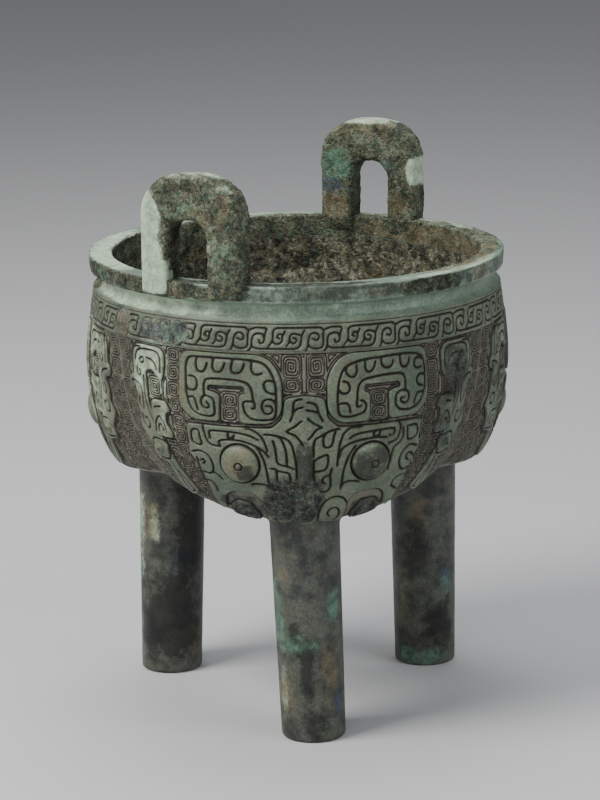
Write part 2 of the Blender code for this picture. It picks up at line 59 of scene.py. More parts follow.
BODY = "root"
NODE = "vessel"
MM = 0.001
SHARP = math.radians(42.0)
FULL_TURN = 360.0
ENDLESS = 1e9

Color = tuple[float, float, float]
Socket = bpy.types.NodeSocket


@dataclass(frozen=True)
class BowlForm:
    """Form of the bowl's skin, the same as the CAD part's; its hub is a gap at the very middle."""

    axis: tuple[float, float] = (-0.000395, 0.002913)
    belly_radius: float = 0.0921
    bottom: float = 0.0935
    crotch_rise: float = 0.0125
    band_bottom: float = 0.1700
    band_top: float = 0.1828
    band_top_radius: float = 0.0870
    wall: float = 0.0042
    lobes: int = 3
    first_lobe: float = math.radians(-91.2)
    first_foot: float = math.radians(-90.0)
    lobe_offset: float = 0.0270
    lobe_growth: float = 0.65
    underside_growth: float = 1.2
    cleft_lift: float = 0.0095
    cleft_fall: float = 0.0125
    cleft_rounding: float = math.radians(2.2)
    field_width: float = 95.3
    field_height: float = 91.0
    hub: float = 0.0001
    side_line: tuple[tuple[float, float], ...] = (
        (0.963, 1.000), (0.985, 0.869), (0.999, 0.739), (1.000, 0.608), (0.992, 0.477),
        (0.973, 0.346), (0.948, 0.242), (0.917, 0.150), (0.877, 0.078), (0.810, 0.026),
        (0.701, 0.000),
    )
    under_line: tuple[tuple[float, float], ...] = (
        (0.775, 0.200), (0.512, 0.600), (0.233, 0.888), (0.000, 1.000),
    )

    @property
    def low_radius(self) -> float:
        """Radius at which a lobe hangs lowest."""
        return self.side_line[-1][0] * self.belly_radius

    def knots(self) -> tuple[np.ndarray, np.ndarray]:
        """Points of the lobe's middle line.

        Returns:
            The points as rows of radius and height, and their distances along the line.
        """
        rise = self.band_bottom - self.bottom
        side = [(self.belly_radius * r, self.bottom + rise * h) for r, h in self.side_line]
        under = [
            (self.low_radius * r, self.bottom + self.crotch_rise * h) for r, h in self.under_line]
        points = np.array(side + under)
        steps = np.linalg.norm(np.diff(points, axis=0), axis=1)
        return points, np.concatenate(([0.0], np.cumsum(steps)))

    @property
    def side_length(self) -> float:
        """Length of the middle line from the band to the lobe's lowest point."""
        return float(self.knots()[1][len(self.side_line) - 1])

    @property
    def length(self) -> float:
        """Length of the middle line from the band to the middle of the underside."""
        return float(self.knots()[1][-1])

    def levels(self, start: float, step: float) -> np.ndarray:
        """Distances down the middle line, from a start to just short of the underside's middle."""
        return np.append(np.arange(start, self.length, step), self.length - self.hub)

    def line(self, distance: np.ndarray) -> tuple[np.ndarray, np.ndarray]:
        """Follow the lobe's middle line.

        Args:
            distance: Distances below the band's foot.

        Returns:
            Radii and heights on the line.
        """
        points, at = self.knots()
        distance = np.clip(distance, 0.0, at[-1])
        index = np.clip(np.searchsorted(at, distance) - 1, 0, len(points) - 2)
        t = (distance - at[index]) / (at[index + 1] - at[index])
        weights = (
            -0.5 * t ** 3 + t ** 2 - 0.5 * t,
            1.5 * t ** 3 - 2.5 * t ** 2 + 1.0,
            -1.5 * t ** 3 + 2.0 * t ** 2 + 0.5 * t,
            0.5 * t ** 3 - 0.5 * t ** 2,
        )
        rows = [np.clip(index + step, 0, len(points) - 1) for step in (-1, 0, 1, 2)]
        spot = sum(weight[:, None] * points[row] for weight, row in zip(weights, rows))
        return np.maximum(spot[:, 0], 0.0), spot[:, 1]

    def skin(self, angle: np.ndarray, distance: np.ndarray) -> np.ndarray:
        """Find points on the bowl's outer skin.

        Args:
            angle: Angles round the bowl's axis.
            distance: Distances below the band's foot, less than zero on the band.

        Returns:
            Points as rows.
        """
        radius, height = self.line(distance)
        fall = np.clip((self.band_bottom - height) / (self.band_bottom - self.bottom), 0.0, 1.0)
        on_side = distance <= self.side_length
        rise_left = (self.bottom + self.crotch_rise - height) / self.crotch_rise
        offset = self.lobe_offset * np.where(
            on_side, fall ** self.lobe_growth, (radius / self.low_radius) ** self.underside_growth)
        lift = self.cleft_lift * np.where(
            on_side, np.exp((self.bottom - height) / self.cleft_fall), rise_left)
        step = 2.0 * math.pi / self.lobes
        local = (angle - self.first_lobe + step / 2.0) % step - step / 2.0
        from_cleft = np.sqrt((step / 2.0 - np.abs(local)) ** 2 + self.cleft_rounding ** 2)
        local = step / 2.0 - np.minimum(from_cleft, step / 2.0)
        across = offset * np.sin(local)
        reach = offset * np.cos(local) + np.sqrt(np.maximum((radius - offset) ** 2 - across ** 2, 0.0))
        height = height + lift * (1.0 - np.cos(self.lobes * local)) / 2.0
        up = np.clip(-distance / (self.band_top - self.band_bottom), 0.0, 1.0)
        reach = reach + (self.band_top_radius - reach) * up
        height = height + (self.band_top - self.band_bottom) * up
        return self.on_axis(reach, angle, height)

    def on_axis(self, radius: np.ndarray, angle: np.ndarray, height: np.ndarray) -> np.ndarray:
        """Points in space from places round the bowl's axis.

        Args:
            radius: Distances from the axis.
            angle: Angles round the axis.
            height: Heights over the floor, or one height for all.

        Returns:
            Points as rows.
        """
        x = self.axis[0] + radius * np.cos(angle)
        y = self.axis[1] + radius * np.sin(angle)
        return np.stack((x, y, height + 0.0 * x), axis=1)

    def underside_at(self, spots: np.ndarray) -> np.ndarray:
        """Heights of the bowl's underside over points of the floor.

        Args:
            spots: Points as rows of two.

        Returns:
            Heights.
        """
        down = np.linspace(0.6 * self.side_length, self.length, 300)
        heights = []
        for x, y in spots - np.array(self.axis):
            line = self.skin(np.full(len(down), math.atan2(y, x)), down)
            reach = np.hypot(line[:, 0] - self.axis[0], line[:, 1] - self.axis[1])
            heights.append(np.interp(math.hypot(x, y), reach[::-1], line[::-1, 2]))
        return np.array(heights)

    def normal(self, angle: np.ndarray, distance: np.ndarray) -> np.ndarray:
        """Find the outward directions of the skin.

        Args:
            angle: Angles round the bowl's axis.
            distance: Distances below the band's foot.

        Returns:
            Directions of length 1, as rows.
        """
        step = 0.0006
        across = self.skin(angle + step / self.belly_radius, distance)
        across = across - self.skin(angle - step / self.belly_radius, distance)
        down = self.skin(angle, distance + step) - self.skin(angle, distance - step)
        out = np.cross(down, across)
        return out / np.maximum(np.linalg.norm(out, axis=1, keepdims=True), 1e-12)


FORM = BowlForm()
BOX = tuple(np.array(corner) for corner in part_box(NODE))


def limited(values: np.ndarray) -> np.ndarray:
    """Values kept between 0 and 1."""
    return np.clip(values, 0.0, 1.0)


# Random surfaces

@dataclass(frozen=True)
class Grain:
    """Random field in space for casting roughness and crust, the same on every run.

    Attributes:
        size: Size of its largest features in metres.
        seed: Picks one of many independent fields.
        layers: How many fields are summed, each half as large and half as strong as the last.
    """

    size: float
    seed: int
    layers: int = 3

    @staticmethod
    def scatter(cells: np.ndarray, seed: int) -> np.ndarray:
        """Give each whole-numbered cell its own random number.

        Args:
            cells: Cells as rows of three whole numbers.
            seed: Picks one of many independent fields.

        Returns:
            Numbers from 0 to 1.
        """
        mixed = cells[:, 0] * 73856093 ^ cells[:, 1] * 19349663 ^ cells[:, 2] * 83492791
        mixed = (mixed ^ seed * 2654435761) & 0xFFFFFFFF
        mixed = (mixed ^ mixed >> 15) * 2246822519 & 0xFFFFFFFF
        mixed = (mixed ^ mixed >> 13) * 3266489917 & 0xFFFFFFFF
        return (mixed ^ mixed >> 16) / 4294967295.0

    @classmethod
    def smooth(cls, points: np.ndarray, size: float, seed: int) -> np.ndarray:
        """Smooth random values.

        Args:
            points: Points as rows.
            size: Distance over which the value changes.
            seed: Picks the field.

        Returns:
            Values from -1 to 1.
        """
        scaled = points / size
        cells = np.floor(scaled).astype(np.int64)
        part = scaled - cells
        part = part * part * (3.0 - 2.0 * part)
        total = np.zeros(len(points))
        for corner in np.ndindex(2, 2, 2):
            weight = np.prod(np.where(np.array(corner), part, 1.0 - part), axis=1)
            total += weight * cls.scatter(cells + np.array(corner), seed)
        return 2.0 * total - 1.0

    def layered(self, points: np.ndarray) -> np.ndarray:
        """Cloudy values.

        Args:
            points: Points as rows.

        Returns:
            Values from about -1 to 1.
        """
        total = np.zeros(len(points))
        for layer in range(self.layers):
            total += self.smooth(points, self.size / 2 ** layer, self.seed + layer) / 2 ** layer
        return total / (2.0 - 2.0 ** (1 - self.layers))

    def lumps(self, points: np.ndarray) -> np.ndarray:
        """Rounded grains that sit side by side.

        Args:
            points: Points as rows.

        Returns:
            Values from 0 between the grains to 1 on top of each.
        """
        scaled = points / self.size
        cells = np.floor(scaled).astype(np.int64)
        nearest = np.full(len(points), 4.0)
        for step in np.ndindex(3, 3, 3):
            cell = cells + np.array(step) - 1
            offset = np.stack([self.scatter(cell, self.seed + axis) for axis in range(3)], axis=1)
            nearest = np.minimum(nearest, np.sum((cell + offset - scaled) ** 2, axis=1))
        return limited(1.0 - nearest / 0.75)


STAIN_EDGES = Grain(0.011, 5, 4)
CAST_SKIN = Grain(0.009, 31)
CRUST_CLOUDS = Grain(0.0045, 41)
CRUST_GRAINS = Grain(0.0022, 51)


class Stain(Enum):
    """What a patch of the surface is covered with; the values name the masks. Some pale patches are painted
    highlights instead.
    """

    CRUST = "crust"
    DARK = "dark"
    PALE = "pale"
    GREEN = "green"
    BLUE = "blue"
    RUST = "rust"

    def at(self, *rows: tuple[float, ...]) -> tuple["Patch", ...]:
        """Patches of this stain, from middles, half sizes, and strengths where they aren't 1."""
        return tuple(Patch(self, row[:2], row[2:4], *row[4:]) for row in rows)


@dataclass(frozen=True)
class Patch:
    """Patch with a ragged edge, on a surface that is measured in two directions."""

    stain: Stain
    middle: tuple[float, float]
    half: tuple[float, float]
    strength: float = 1.0


def stained(spots: np.ndarray, points: np.ndarray, patches: tuple[Patch, ...], period: float = ENDLESS,
            ragged: float = 0.35, soft: float = 0.3) -> dict[str, np.ndarray]:
    """Work out the masks of all stains.

    Args:
        spots: Where the vertices lie, in the patches' own two directions.
        points: Where they lie in space.
        patches: The patches.
        period: Length after which the first direction comes round again.
        ragged: How far the patches' edges wander, as a share of their size.
        soft: How far the patches fade out, as a share of their size.

    Returns:
        A mask for each stain.
    """
    masks = {stain.value: np.zeros(len(points)) for stain in Stain}
    wander = STAIN_EDGES.layered(points)
    for patch in patches:
        across = (spots[:, 0] - patch.middle[0] + period / 2.0) % period - period / 2.0
        down = spots[:, 1] - patch.middle[1]
        reach = np.cbrt(np.abs(across / patch.half[0]) ** 3 + np.abs(down / patch.half[1]) ** 3)
        value = patch.strength * limited((1.0 - reach + ragged * wander) / soft)
        masks[patch.stain.value] = np.maximum(masks[patch.stain.value], value)
    return masks


# Flat drawing

# Half angle in radians past which a corner gets no arc, and the most of a side that an arc takes
STRAIGHT = 1.55
SIDE_SHARE = 0.49


def rounded(corners: tuple, closed: bool = True, step: float = 1.0) -> np.ndarray:
    """Line through corners, with an arc in place of each that has a radius.

    Args:
        corners: Corners as (across, down, radius).
        closed: Whether the line returns to its start.
        step: Largest spacing of the points on the arcs.

    Returns:
        Points as rows.
    """
    line = []
    last = len(corners) - 1
    for index, (x, y, radius) in enumerate(corners):
        here = np.array((x, y), float)
        if radius <= 0.0 or (not closed and index in (0, last)):
            line.append(here)
            continue
        before = np.array(corners[index - 1][:2], float) - here
        after = np.array(corners[(index + 1) % len(corners)][:2], float) - here
        long_before, long_after = np.linalg.norm(before), np.linalg.norm(after)
        before, after = before / long_before, after / long_after
        half = math.acos(max(-1.0, min(1.0, float(before @ after)))) / 2.0
        if half > STRAIGHT:
            line.append(here)
            continue
        reach = min(radius / math.tan(half), SIDE_SHARE * long_before, SIDE_SHARE * long_after)
        radius = reach * math.tan(half)
        middle = before + after
        centre = here + middle / np.linalg.norm(middle) * (radius / math.sin(half))
        start = here + before * reach - centre
        end = here + after * reach - centre
        sweep = math.atan2(start[0] * end[1] - start[1] * end[0], float(start @ end))
        count = max(round(abs(sweep) * radius / step), 1)
        for turn in np.linspace(0.0, sweep, count + 1):
            cos, sin = math.cos(turn), math.sin(turn)
            turned = (start[0] * cos - start[1] * sin, start[0] * sin + start[1] * cos)
            line.append(centre + turned)
    return np.array(line)


def divided(line: np.ndarray, step: float) -> np.ndarray:
    """Add points to an open line.

    Args:
        line: Points as rows.
        step: Largest distance that may stay between neighbours.

    Returns:
        Points as rows.
    """
    points = [line[:1]]
    for start, end in zip(line, line[1:]):
        count = max(math.ceil(math.dist(start, end) / step), 1)
        points.append(start + (end - start) * (np.arange(1, count + 1) / count)[:, None])
    return np.concatenate(points)


def closed_up(line: np.ndarray) -> np.ndarray:
    """Closed line as an open one that ends where it starts."""
    return np.concatenate((line, line[:1]))


def circle(count: int) -> np.ndarray:
    """Closed circle of radius 1 through a number of points, as rows."""
    turn = np.linspace(0.0, 2.0 * math.pi, count)
    return np.stack((np.cos(turn), np.sin(turn)), axis=1)


def beside(line: np.ndarray, distance: float) -> np.ndarray:
    """Line moved sideways; it counts as closed where it ends where it starts.

    Args:
        line: Points as rows.
        distance: How far it moves.

    Returns:
        The moved points as rows.
    """
    spans = np.diff(line, axis=0)
    spans = spans / np.maximum(np.linalg.norm(spans, axis=1, keepdims=True), 1e-9)
    sides = np.stack((-spans[:, 1], spans[:, 0]), axis=1)
    loop = np.allclose(line[0], line[-1])
    before = np.concatenate((sides[-1:] if loop else sides[:1], sides))
    after = np.concatenate((sides, sides[:1] if loop else sides[-1:]))
    together = before + after
    scale = np.maximum(1.0 + np.sum(before * after, axis=1), 0.6)
    return line + together * (distance / scale)[:, None]


@dataclass
class Cast:
    """Surface ready to become a mesh.

    Attributes:
        points: Vertices as rows.
        faces: Faces as rows of three or four vertex numbers.
        masks: Named values from 0 to 1 on the vertices.
    """

    points: np.ndarray
    faces: np.ndarray
    masks: dict[str, np.ndarray]

    def normals(self) -> np.ndarray:
        """Find the outward directions at the vertices.

        Returns:
            Directions of length 1, as rows.
        """
        corners = self.points[self.faces]
        across = np.cross(corners[:, 1] - corners[:, 0], corners[:, 2] - corners[:, 0])
        if self.faces.shape[1] == 4:
            across += np.cross(corners[:, 2] - corners[:, 0], corners[:, 3] - corners[:, 0])
        out = np.zeros_like(self.points)
        for column in range(self.faces.shape[1]):
            np.add.at(out, self.faces[:, column], across)
        return out / np.maximum(np.linalg.norm(out, axis=1, keepdims=True), 1e-15)

    def roughen(self, crust: float, skin: float, kept: np.ndarray) -> None:
        """Raise the crust where its mask is, and the faint unevenness of a casting everywhere.

        Args:
            crust: Depth of the crust's roughness in millimetres.
            skin: Depth of the unevenness in millimetres.
            kept: Share of both that is kept at each vertex.
        """
        heights = skin * CAST_SKIN.layered(self.points)
        rough = np.nonzero(self.masks["crust"] > 0.02)[0]
        there = self.points[rough]
        grains = 0.75 * CRUST_CLOUDS.layered(there) + 0.5 * CRUST_GRAINS.lumps(there) - 0.3
        heights[rough] += crust * self.masks["crust"][rough] * grains
        self.points = self.points + self.normals() * (heights * kept * MM)[:, None]


def around(columns: int) -> np.ndarray:
    """Angles of a full turn, evenly spaced."""
    return np.linspace(0.0, 2.0 * math.pi, columns, endpoint=False)


def rings(levels: np.ndarray, columns: int) -> tuple[np.ndarray, np.ndarray]:
    """Level and angle of each point of a stack of rings, ring after ring."""
    level, angle = np.meshgrid(levels, around(columns), indexing="ij")
    return level.ravel(), angle.ravel()


def grid_cast(points: np.ndarray, columns: int) -> Cast:
    """Surface over a grid of points, each row of which runs round to its start.

    Args:
        points: The grid's points, row after row.
        columns: Points in a row.

    Returns:
        The surface, facing outward where rows run down and columns anticlockwise.
    """
    rows = len(points) // columns
    row, column = np.meshgrid(np.arange(rows - 1), np.arange(columns), indexing="ij")
    after = (column + 1) % columns
    faces = np.stack((
        row * columns + column, (row + 1) * columns + column,
        (row + 1) * columns + after, row * columns + after), axis=-1)
    return Cast(points, faces.reshape(-1, 4), {})


def make_piece(name: str, cast: Cast, material: bpy.types.Material) -> bpy.types.Object:
    """Turn a surface into a named piece of the vessel.

    Args:
        name: The piece's name.
        cast: Its surface.
        material: Its finish.

    Returns:
        The new object, which rides on the vessel's body.
    """
    mesh = bpy.data.meshes.new(name)
    sides = cast.faces.shape[1]
    mesh.vertices.add(len(cast.points))
    mesh.vertices.foreach_set("co", np.clip(cast.points, *BOX).astype(np.float32).ravel())
    mesh.loops.add(cast.faces.size)
    mesh.loops.foreach_set("vertex_index", cast.faces.astype(np.int32).ravel())
    mesh.polygons.add(len(cast.faces))
    starts = np.arange(0, cast.faces.size, sides, dtype=np.int32)
    mesh.polygons.foreach_set("loop_start", starts)
    mesh.update(calc_edges=True)
    mesh.polygons.foreach_set("use_smooth", np.ones(len(cast.faces), dtype=bool))
    for label, values in cast.masks.items():
        mask = mesh.attributes.new(label, "FLOAT", "POINT")
        mask.data.foreach_set("value", values.astype(np.float32))
    mesh.materials.append(material)
    mesh.validate()
    mesh.set_sharp_from_angle(angle=SHARP)
    piece = bpy.data.objects.new(name, mesh)
    bpy.context.scene.collection.objects.link(piece)
    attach(piece, BODY)
    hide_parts(NODE)
    LOG.info("%s: %d triangles", name, len(cast.faces) * (sides - 2))
    return piece


class Sheet:
    """Flat drawing of a lobe's carving, in millimetres.

    Heights are kept on a fine grid. The drawn lines are kept too, so that the mesh
    gets an edge along each rim and each bottom of the carving. Cells note how far they
    are from a raised form, up to REACH, and from a drawn line, up to NEAR. STEP is the
    spacing of the mesh's points along lines. ROW, END_GAP and FILL_GAP are shares of the
    spacing of the points that fill the gaps.
    """

    LEFT, RIGHT, TOP, BOTTOM = -97.0, 97.0, -14.0, 92.0
    CELL = 0.1
    REACH = 7.0
    NEAR = 0.8
    STEP = 1.4
    COARSE = 4.0
    ROW = 0.87
    END_GAP = 0.3
    FILL_GAP = 0.42
    AROUND = 4

    def __init__(self, width: float, top: float, bottom: float) -> None:
        """Start with a plain field.

        Args:
            width: Distance from the mask's middle line to the cleft.
            top: Upper edge of the drawing.
            bottom: Lower edge of the drawing.
        """
        self.width, self.top, self.bottom = width, top, bottom
        self.xs = np.arange(self.LEFT, self.RIGHT, self.CELL)
        self.ys = np.arange(self.TOP, self.BOTTOM, self.CELL)
        self.rise = np.zeros((len(self.ys), len(self.xs)))
        self.cut = np.zeros_like(self.rise)
        self.near = np.full_like(self.rise, 2.0)
        self.clear = np.full_like(self.rise, self.REACH)
        self.points: list[np.ndarray] = []
        self.edges: list[np.ndarray] = []
        self.count = 0

    def window(self, line: np.ndarray, reach: float) -> tuple[slice, slice]:
        """Part of the grid that lies round a line.

        Args:
            line: Points as rows.
            reach: Margin round it.

        Returns:
            The part's rows and columns.
        """
        corner = (self.LEFT, self.TOP)
        low = ((line.min(axis=0) - reach - corner) / self.CELL).astype(int)
        high = ((line.max(axis=0) + reach - corner) / self.CELL).astype(int) + 2
        low, high = np.maximum(low, 0), np.maximum(high, 0)
        return slice(low[1], high[1]), slice(low[0], high[0])

    def distance(self, line: np.ndarray, reach: float) -> tuple[tuple[slice, slice], np.ndarray]:
        """Distance from the grid's cells to a line.

        Args:
            line: Points as rows.
            reach: Distance past which the value doesn't matter.

        Returns:
            The window of the grid round the line, and the distances in it.
        """
        window = self.window(line, reach)
        ys, xs = self.ys[window[0]], self.xs[window[1]]
        nearest = np.full((len(ys), len(xs)), reach)
        for start, end in zip(line, line[1:]):
            part = self.window(np.array((start, end)), reach)
            rows = slice(part[0].start - window[0].start, part[0].stop - window[0].start)
            columns = slice(part[1].start - window[1].start, part[1].stop - window[1].start)
            across, down = xs[columns][None, :] - start[0], ys[rows][:, None] - start[1]
            span = end - start
            length = max(float(span @ span), 1e-9)
            share = np.clip((across * span[0] + down * span[1]) / length, 0.0, 1.0)
            away = np.hypot(across - share * span[0], down - share * span[1])
            nearest[rows, columns] = np.minimum(nearest[rows, columns], away)
        return window, nearest

    def inside(self, outline: np.ndarray, window: tuple[slice, slice]) -> np.ndarray:
        """Find the cells inside a closed outline.

        Args:
            outline: Points as rows.
            window: The rows and columns that are looked at.

        Returns:
            True for each cell of the window that lies inside.
        """
        ys, xs = self.ys[window[0]], self.xs[window[1]]
        within = np.zeros((len(ys), len(xs)), dtype=bool)
        for start, end in zip(outline, np.roll(outline, -1, axis=0)):
            if start[1] == end[1]:
                continue
            crossed = (start[1] > ys) != (end[1] > ys)
            at = start[0] + (ys - start[1]) / (end[1] - start[1]) * (end[0] - start[0])
            within ^= crossed[:, None] & (xs[None, :] < at[:, None])
        return within

    def keep(self, points: np.ndarray, pairs: np.ndarray) -> None:
        """Keep points and edges for the mesh.

        Args:
            points: Points as rows.
            pairs: The edges between them, as rows of two numbers.
        """
        self.points.append(points)
        self.edges.append(self.count + pairs)
        self.count += len(points)

    def trace(self, line: np.ndarray, used: np.ndarray) -> None:
        """Keep a line for the mesh, and note which cells lie near it.

        Args:
            line: Points as rows.
            used: Which points may have an edge.
        """
        numbers = np.arange(len(line))
        pairs = np.stack((numbers[:-1], numbers[1:]), axis=1)
        self.keep(line, pairs[used[:-1] & used[1:]])
        window, away = self.distance(line, self.NEAR)
        self.near[window] = np.minimum(self.near[window], away)

    def draw(self, line: np.ndarray, step: float = STEP) -> None:
        """Keep a line as edges of the mesh, as far as it runs inside the drawing.

        Args:
            line: Points as rows.
            step: Largest spacing of the mesh's points along it.
        """
        line = divided(line, step)
        inner = (np.abs(line[:, 0]) < self.width) & (line[:, 1] > self.top)
        self.trace(line, inner & (line[:, 1] < self.bottom))

    def add_plate(self, outline: np.ndarray, height: float, slope: float = 0.6) -> None:
        """Raise a flat form with bevelled sides.

        Args:
            outline: Its closed outline at the foot.
            height: Height of its top.
            slope: Width of the bevel.
        """
        closed = closed_up(outline)
        window, away = self.distance(closed, slope)
        share = np.where(self.inside(outline, window), away / slope, 0.0)
        lifted = height * np.sin(limited(share) * math.pi / 2.0)
        self.rise[window] = np.maximum(self.rise[window], lifted)
        turned = np.sum(closed[:-1, 0] * closed[1:, 1] - closed[1:, 0] * closed[:-1, 1])
        side = 1.0 if turned > 0.0 else -1.0
        for share_in in (0.0, 0.5, 1.0):
            self.draw(beside(closed, side * slope * share_in))
        window, away = self.distance(divided(closed, self.COARSE), self.REACH)
        self.clear[window] = np.minimum(self.clear[window], away)

    def add_groove(self, line: np.ndarray, width: float, depth: float, step: float = STEP) -> None:
        """Cut a rounded groove.

        Args:
            line: Its middle line.
            width: Its width at the lips.
            depth: Its depth.
            step: Largest spacing of the mesh's points along it.
        """
        half = width / 2.0
        window, away = self.distance(line, half)
        deep = depth * (1.0 - (away / half) ** 2)
        self.cut[window] = np.maximum(self.cut[window], deep)
        for share in (-1.0, 0.0, 1.0):
            self.draw(beside(line, share * half), step)

    def add_dome(self, across: float, down: float, radius: float, height: float,
                 base: float) -> None:
        """Raise a round boss.

        Args:
            across: Its middle.
            down: Its middle.
            radius: Its radius.
            height: Height of its top.
            base: Height of its foot.
        """
        middle = (across, down)
        ring = circle(49) * radius + middle
        window = self.window(ring, self.NEAR)
        ys, xs = self.ys[window[0]][:, None], self.xs[window[1]][None, :]
        share = np.hypot(xs - across, ys - down) / radius
        lifted = base + (height - base) * np.sqrt(limited(1.0 - share ** 2))
        self.rise[window] = np.where(share < 1.0, lifted, self.rise[window])
        for part in (1.0, 0.97, 0.88):
            self.draw((ring - middle) * part + middle)

    def add_levels(self, phase: np.ndarray, used: np.ndarray, step: float) -> None:
        """Keep the lines on which a phase over the grid is a whole or half number.

        Args:
            phase: Values on the grid, which may jump by whole numbers.
            used: Cells in which the lines count.
            step: Size of the squares through which the lines are followed.
        """
        skip = round(step / self.CELL)
        phase, used = phase[::skip, ::skip], used[::skip, ::skip]
        xs, ys = self.xs[::skip], self.ys[::skip]
        rows, columns = np.nonzero(used[:-1, :-1] & used[:-1, 1:] & used[1:, 1:] & used[1:, :-1])
        values = np.stack((
            phase[rows, columns], phase[rows, columns + 1],
            phase[rows + 1, columns + 1], phase[rows + 1, columns]), axis=1)
        values = values[:, :1] + (values - values[:, :1] + 0.5) % 1.0 - 0.5
        origin = np.stack((xs[columns], ys[rows]), axis=1)
        corners = np.array(((0.0, 0.0), (1.0, 0.0), (1.0, 1.0), (0.0, 1.0))) * (xs[1] - xs[0])
        first_level = np.ceil(values.min(axis=1) * 2.0) / 2.0
        for level in (first_level, first_level + 0.5):
            apart = values - level[:, None] + 1e-7
            marks = (apart > 0.0) != (np.roll(apart, -1, axis=1) > 0.0)
            cut = marks.sum(axis=1) == 2
            order = np.argsort(~marks[cut], axis=1, kind="stable")[:, :2]
            after = (order + 1) % 4
            first = np.take_along_axis(apart[cut], order, axis=1)
            second = np.take_along_axis(apart[cut], after, axis=1)
            share = (first / (first - second))[:, :, None]
            within = corners[order] * (1.0 - share)
            spots = (origin[cut][:, None, :] + within + corners[after] * share).reshape(-1, 2)
            self.keep(spots, np.arange(len(spots)).reshape(-1, 2))
            last = np.array(self.near.shape)[::-1] - 1 - self.AROUND
            cells = ((spots - (self.LEFT, self.TOP)) / self.CELL).astype(int)
            column, row = np.clip(cells, self.AROUND, last).T
            for step_down, step_across in np.ndindex(2 * self.AROUND + 1, 2 * self.AROUND + 1):
                down, across = step_down - self.AROUND, step_across - self.AROUND
                place = (row + down, column + across)
                self.near[place] = np.minimum(self.near[place], math.hypot(down, across) * self.CELL)

    def fill(self, step: float) -> np.ndarray:
        """Points that fill the gaps between the drawn lines.

        Args:
            step: Their spacing.

        Returns:
            Points as rows.
        """
        rows = np.arange(self.top + step / 2.0, self.bottom, step * self.ROW)
        columns = np.arange(step / 2.0 - self.width, self.width - step * self.END_GAP, step)
        across, down = np.meshgrid(columns, rows)
        across = across + (np.arange(len(rows)) % 2)[:, None] * step / 2.0
        spots = np.stack((across.ravel(), down.ravel()), axis=1)
        spots = spots[spots[:, 0] < self.width - step * self.END_GAP]
        return spots[self.sample(self.near, spots) > self.FILL_GAP * step]

    def sample(self, sheet: np.ndarray, spots: np.ndarray) -> np.ndarray:
        """Read values off the grid between its cells.

        Args:
            sheet: A value for each cell.
            spots: Points as rows.

        Returns:
            A value for each point.
        """
        across = np.clip((spots[:, 0] - self.LEFT) / self.CELL, 0, len(self.xs) - 1.001)
        down = np.clip((spots[:, 1] - self.TOP) / self.CELL, 0, len(self.ys) - 1.001)
        column, row = across.astype(int), down.astype(int)
        fx, fy = across - column, down - row
        upper = sheet[row, column] * (1.0 - fx) + sheet[row, column + 1] * fx
        lower = sheet[row + 1, column] * (1.0 - fx) + sheet[row + 1, column + 1] * fx
        return upper * (1.0 - fy) + lower * fy

    def meshed(self, step: float) -> tuple[np.ndarray, np.ndarray]:
        """Triangulate the drawing.

        Args:
            step: Spacing of the points between the lines.

        Returns:
            Points on the sheet as rows, and triangles as rows of three.
        """
        down = np.arange(self.top, self.bottom + 1e-6, (self.bottom - self.top) / 100)
        across = np.linspace(-self.width, self.width, 191)
        for line in (
                np.stack((np.full_like(down, -self.width), down), axis=1),
                np.stack((np.full_like(down, self.width), down), axis=1),
                np.stack((across, np.full_like(across, self.top)), axis=1),
                np.stack((across, np.full_like(across, self.bottom)), axis=1)):
            self.trace(line, np.ones(len(line), dtype=bool))
        spots = np.concatenate(self.points + [self.fill(step)])
        edges = np.concatenate(self.edges).tolist()
        made = delaunay_2d_cdt([Vector(spot) for spot in spots], edges, [], 0, 0.02)
        places = np.array([(spot.x, spot.y) for spot in made[0]])
        faces = np.array(made[2])
        middle = places[faces].mean(axis=1)
        kept = np.abs(middle[:, 0]) < self.width
        kept &= (middle[:, 1] > self.top) & (middle[:, 1] < self.bottom)
        faces = faces[kept]
        used, faces = np.unique(faces, return_inverse=True)
        return places[used], faces.reshape(-1, 3)


# Carving of a lobe

# Raised forms, as corners (across, down, rounding radius); each also stands mirrored
PLATES = {
    "jaw": (
        (21.4, 80, 3), (20.8, 73, 4), (24.4, 66.6, 3), (31.6, 65.6, 4), (35.8, 70, 3), (35, 76.5, 3),
        (29, 80.5, 3),
    ),
    "horn": (
        (9, 1.4, 13), (54.5, 1.4, 5), (54.5, 29.6, 10), (35.2, 29.6, 1.6), (35, 18, 1.6), (38, 16.9, 0.3),
        (40.6, 16.5, 0.4), (40.2, 14.6, 0.6), (25, 14.4, 0.6), (24.4, 16.9, 0.5), (27, 17.6, 1.6),
        (26.8, 29.6, 2.4), (9, 29.6, 8),
    ),
    "dragon": (
        (63.2, 13, 2), (62.5, 2, 5), (84, 2, 7), (84, 15, 0.5), (86, 16.5, 0.8), (85.5, 20.5, 0.8),
        (80.8, 22, 0.8), (82, 28, 1), (80.5, 33, 1), (82.8, 38, 1), (76.5, 45, 0.8), (75.5, 51.5, 2),
        (66.5, 53.5, 0.5), (62.5, 66, 2), (57.5, 70, 2), (51.5, 66, 2), (59.5, 55, 0.5), (68, 40, 2),
        (73.6, 25, 4), (74.2, 12.6, 1.5), (70, 11.6, 2), (64.4, 16, 0.3),
    ),
    "claw": (
        (60, 28.5, 1), (62.5, 24, 2.5), (71.8, 24, 2.5), (71.2, 33, 1.5), (71.5, 40.4, 2), (60, 40.4, 1.2),
        (60.2, 38, 1), (63.3, 33.5, 2), (62.8, 29.5, 0.8),
    ),
}
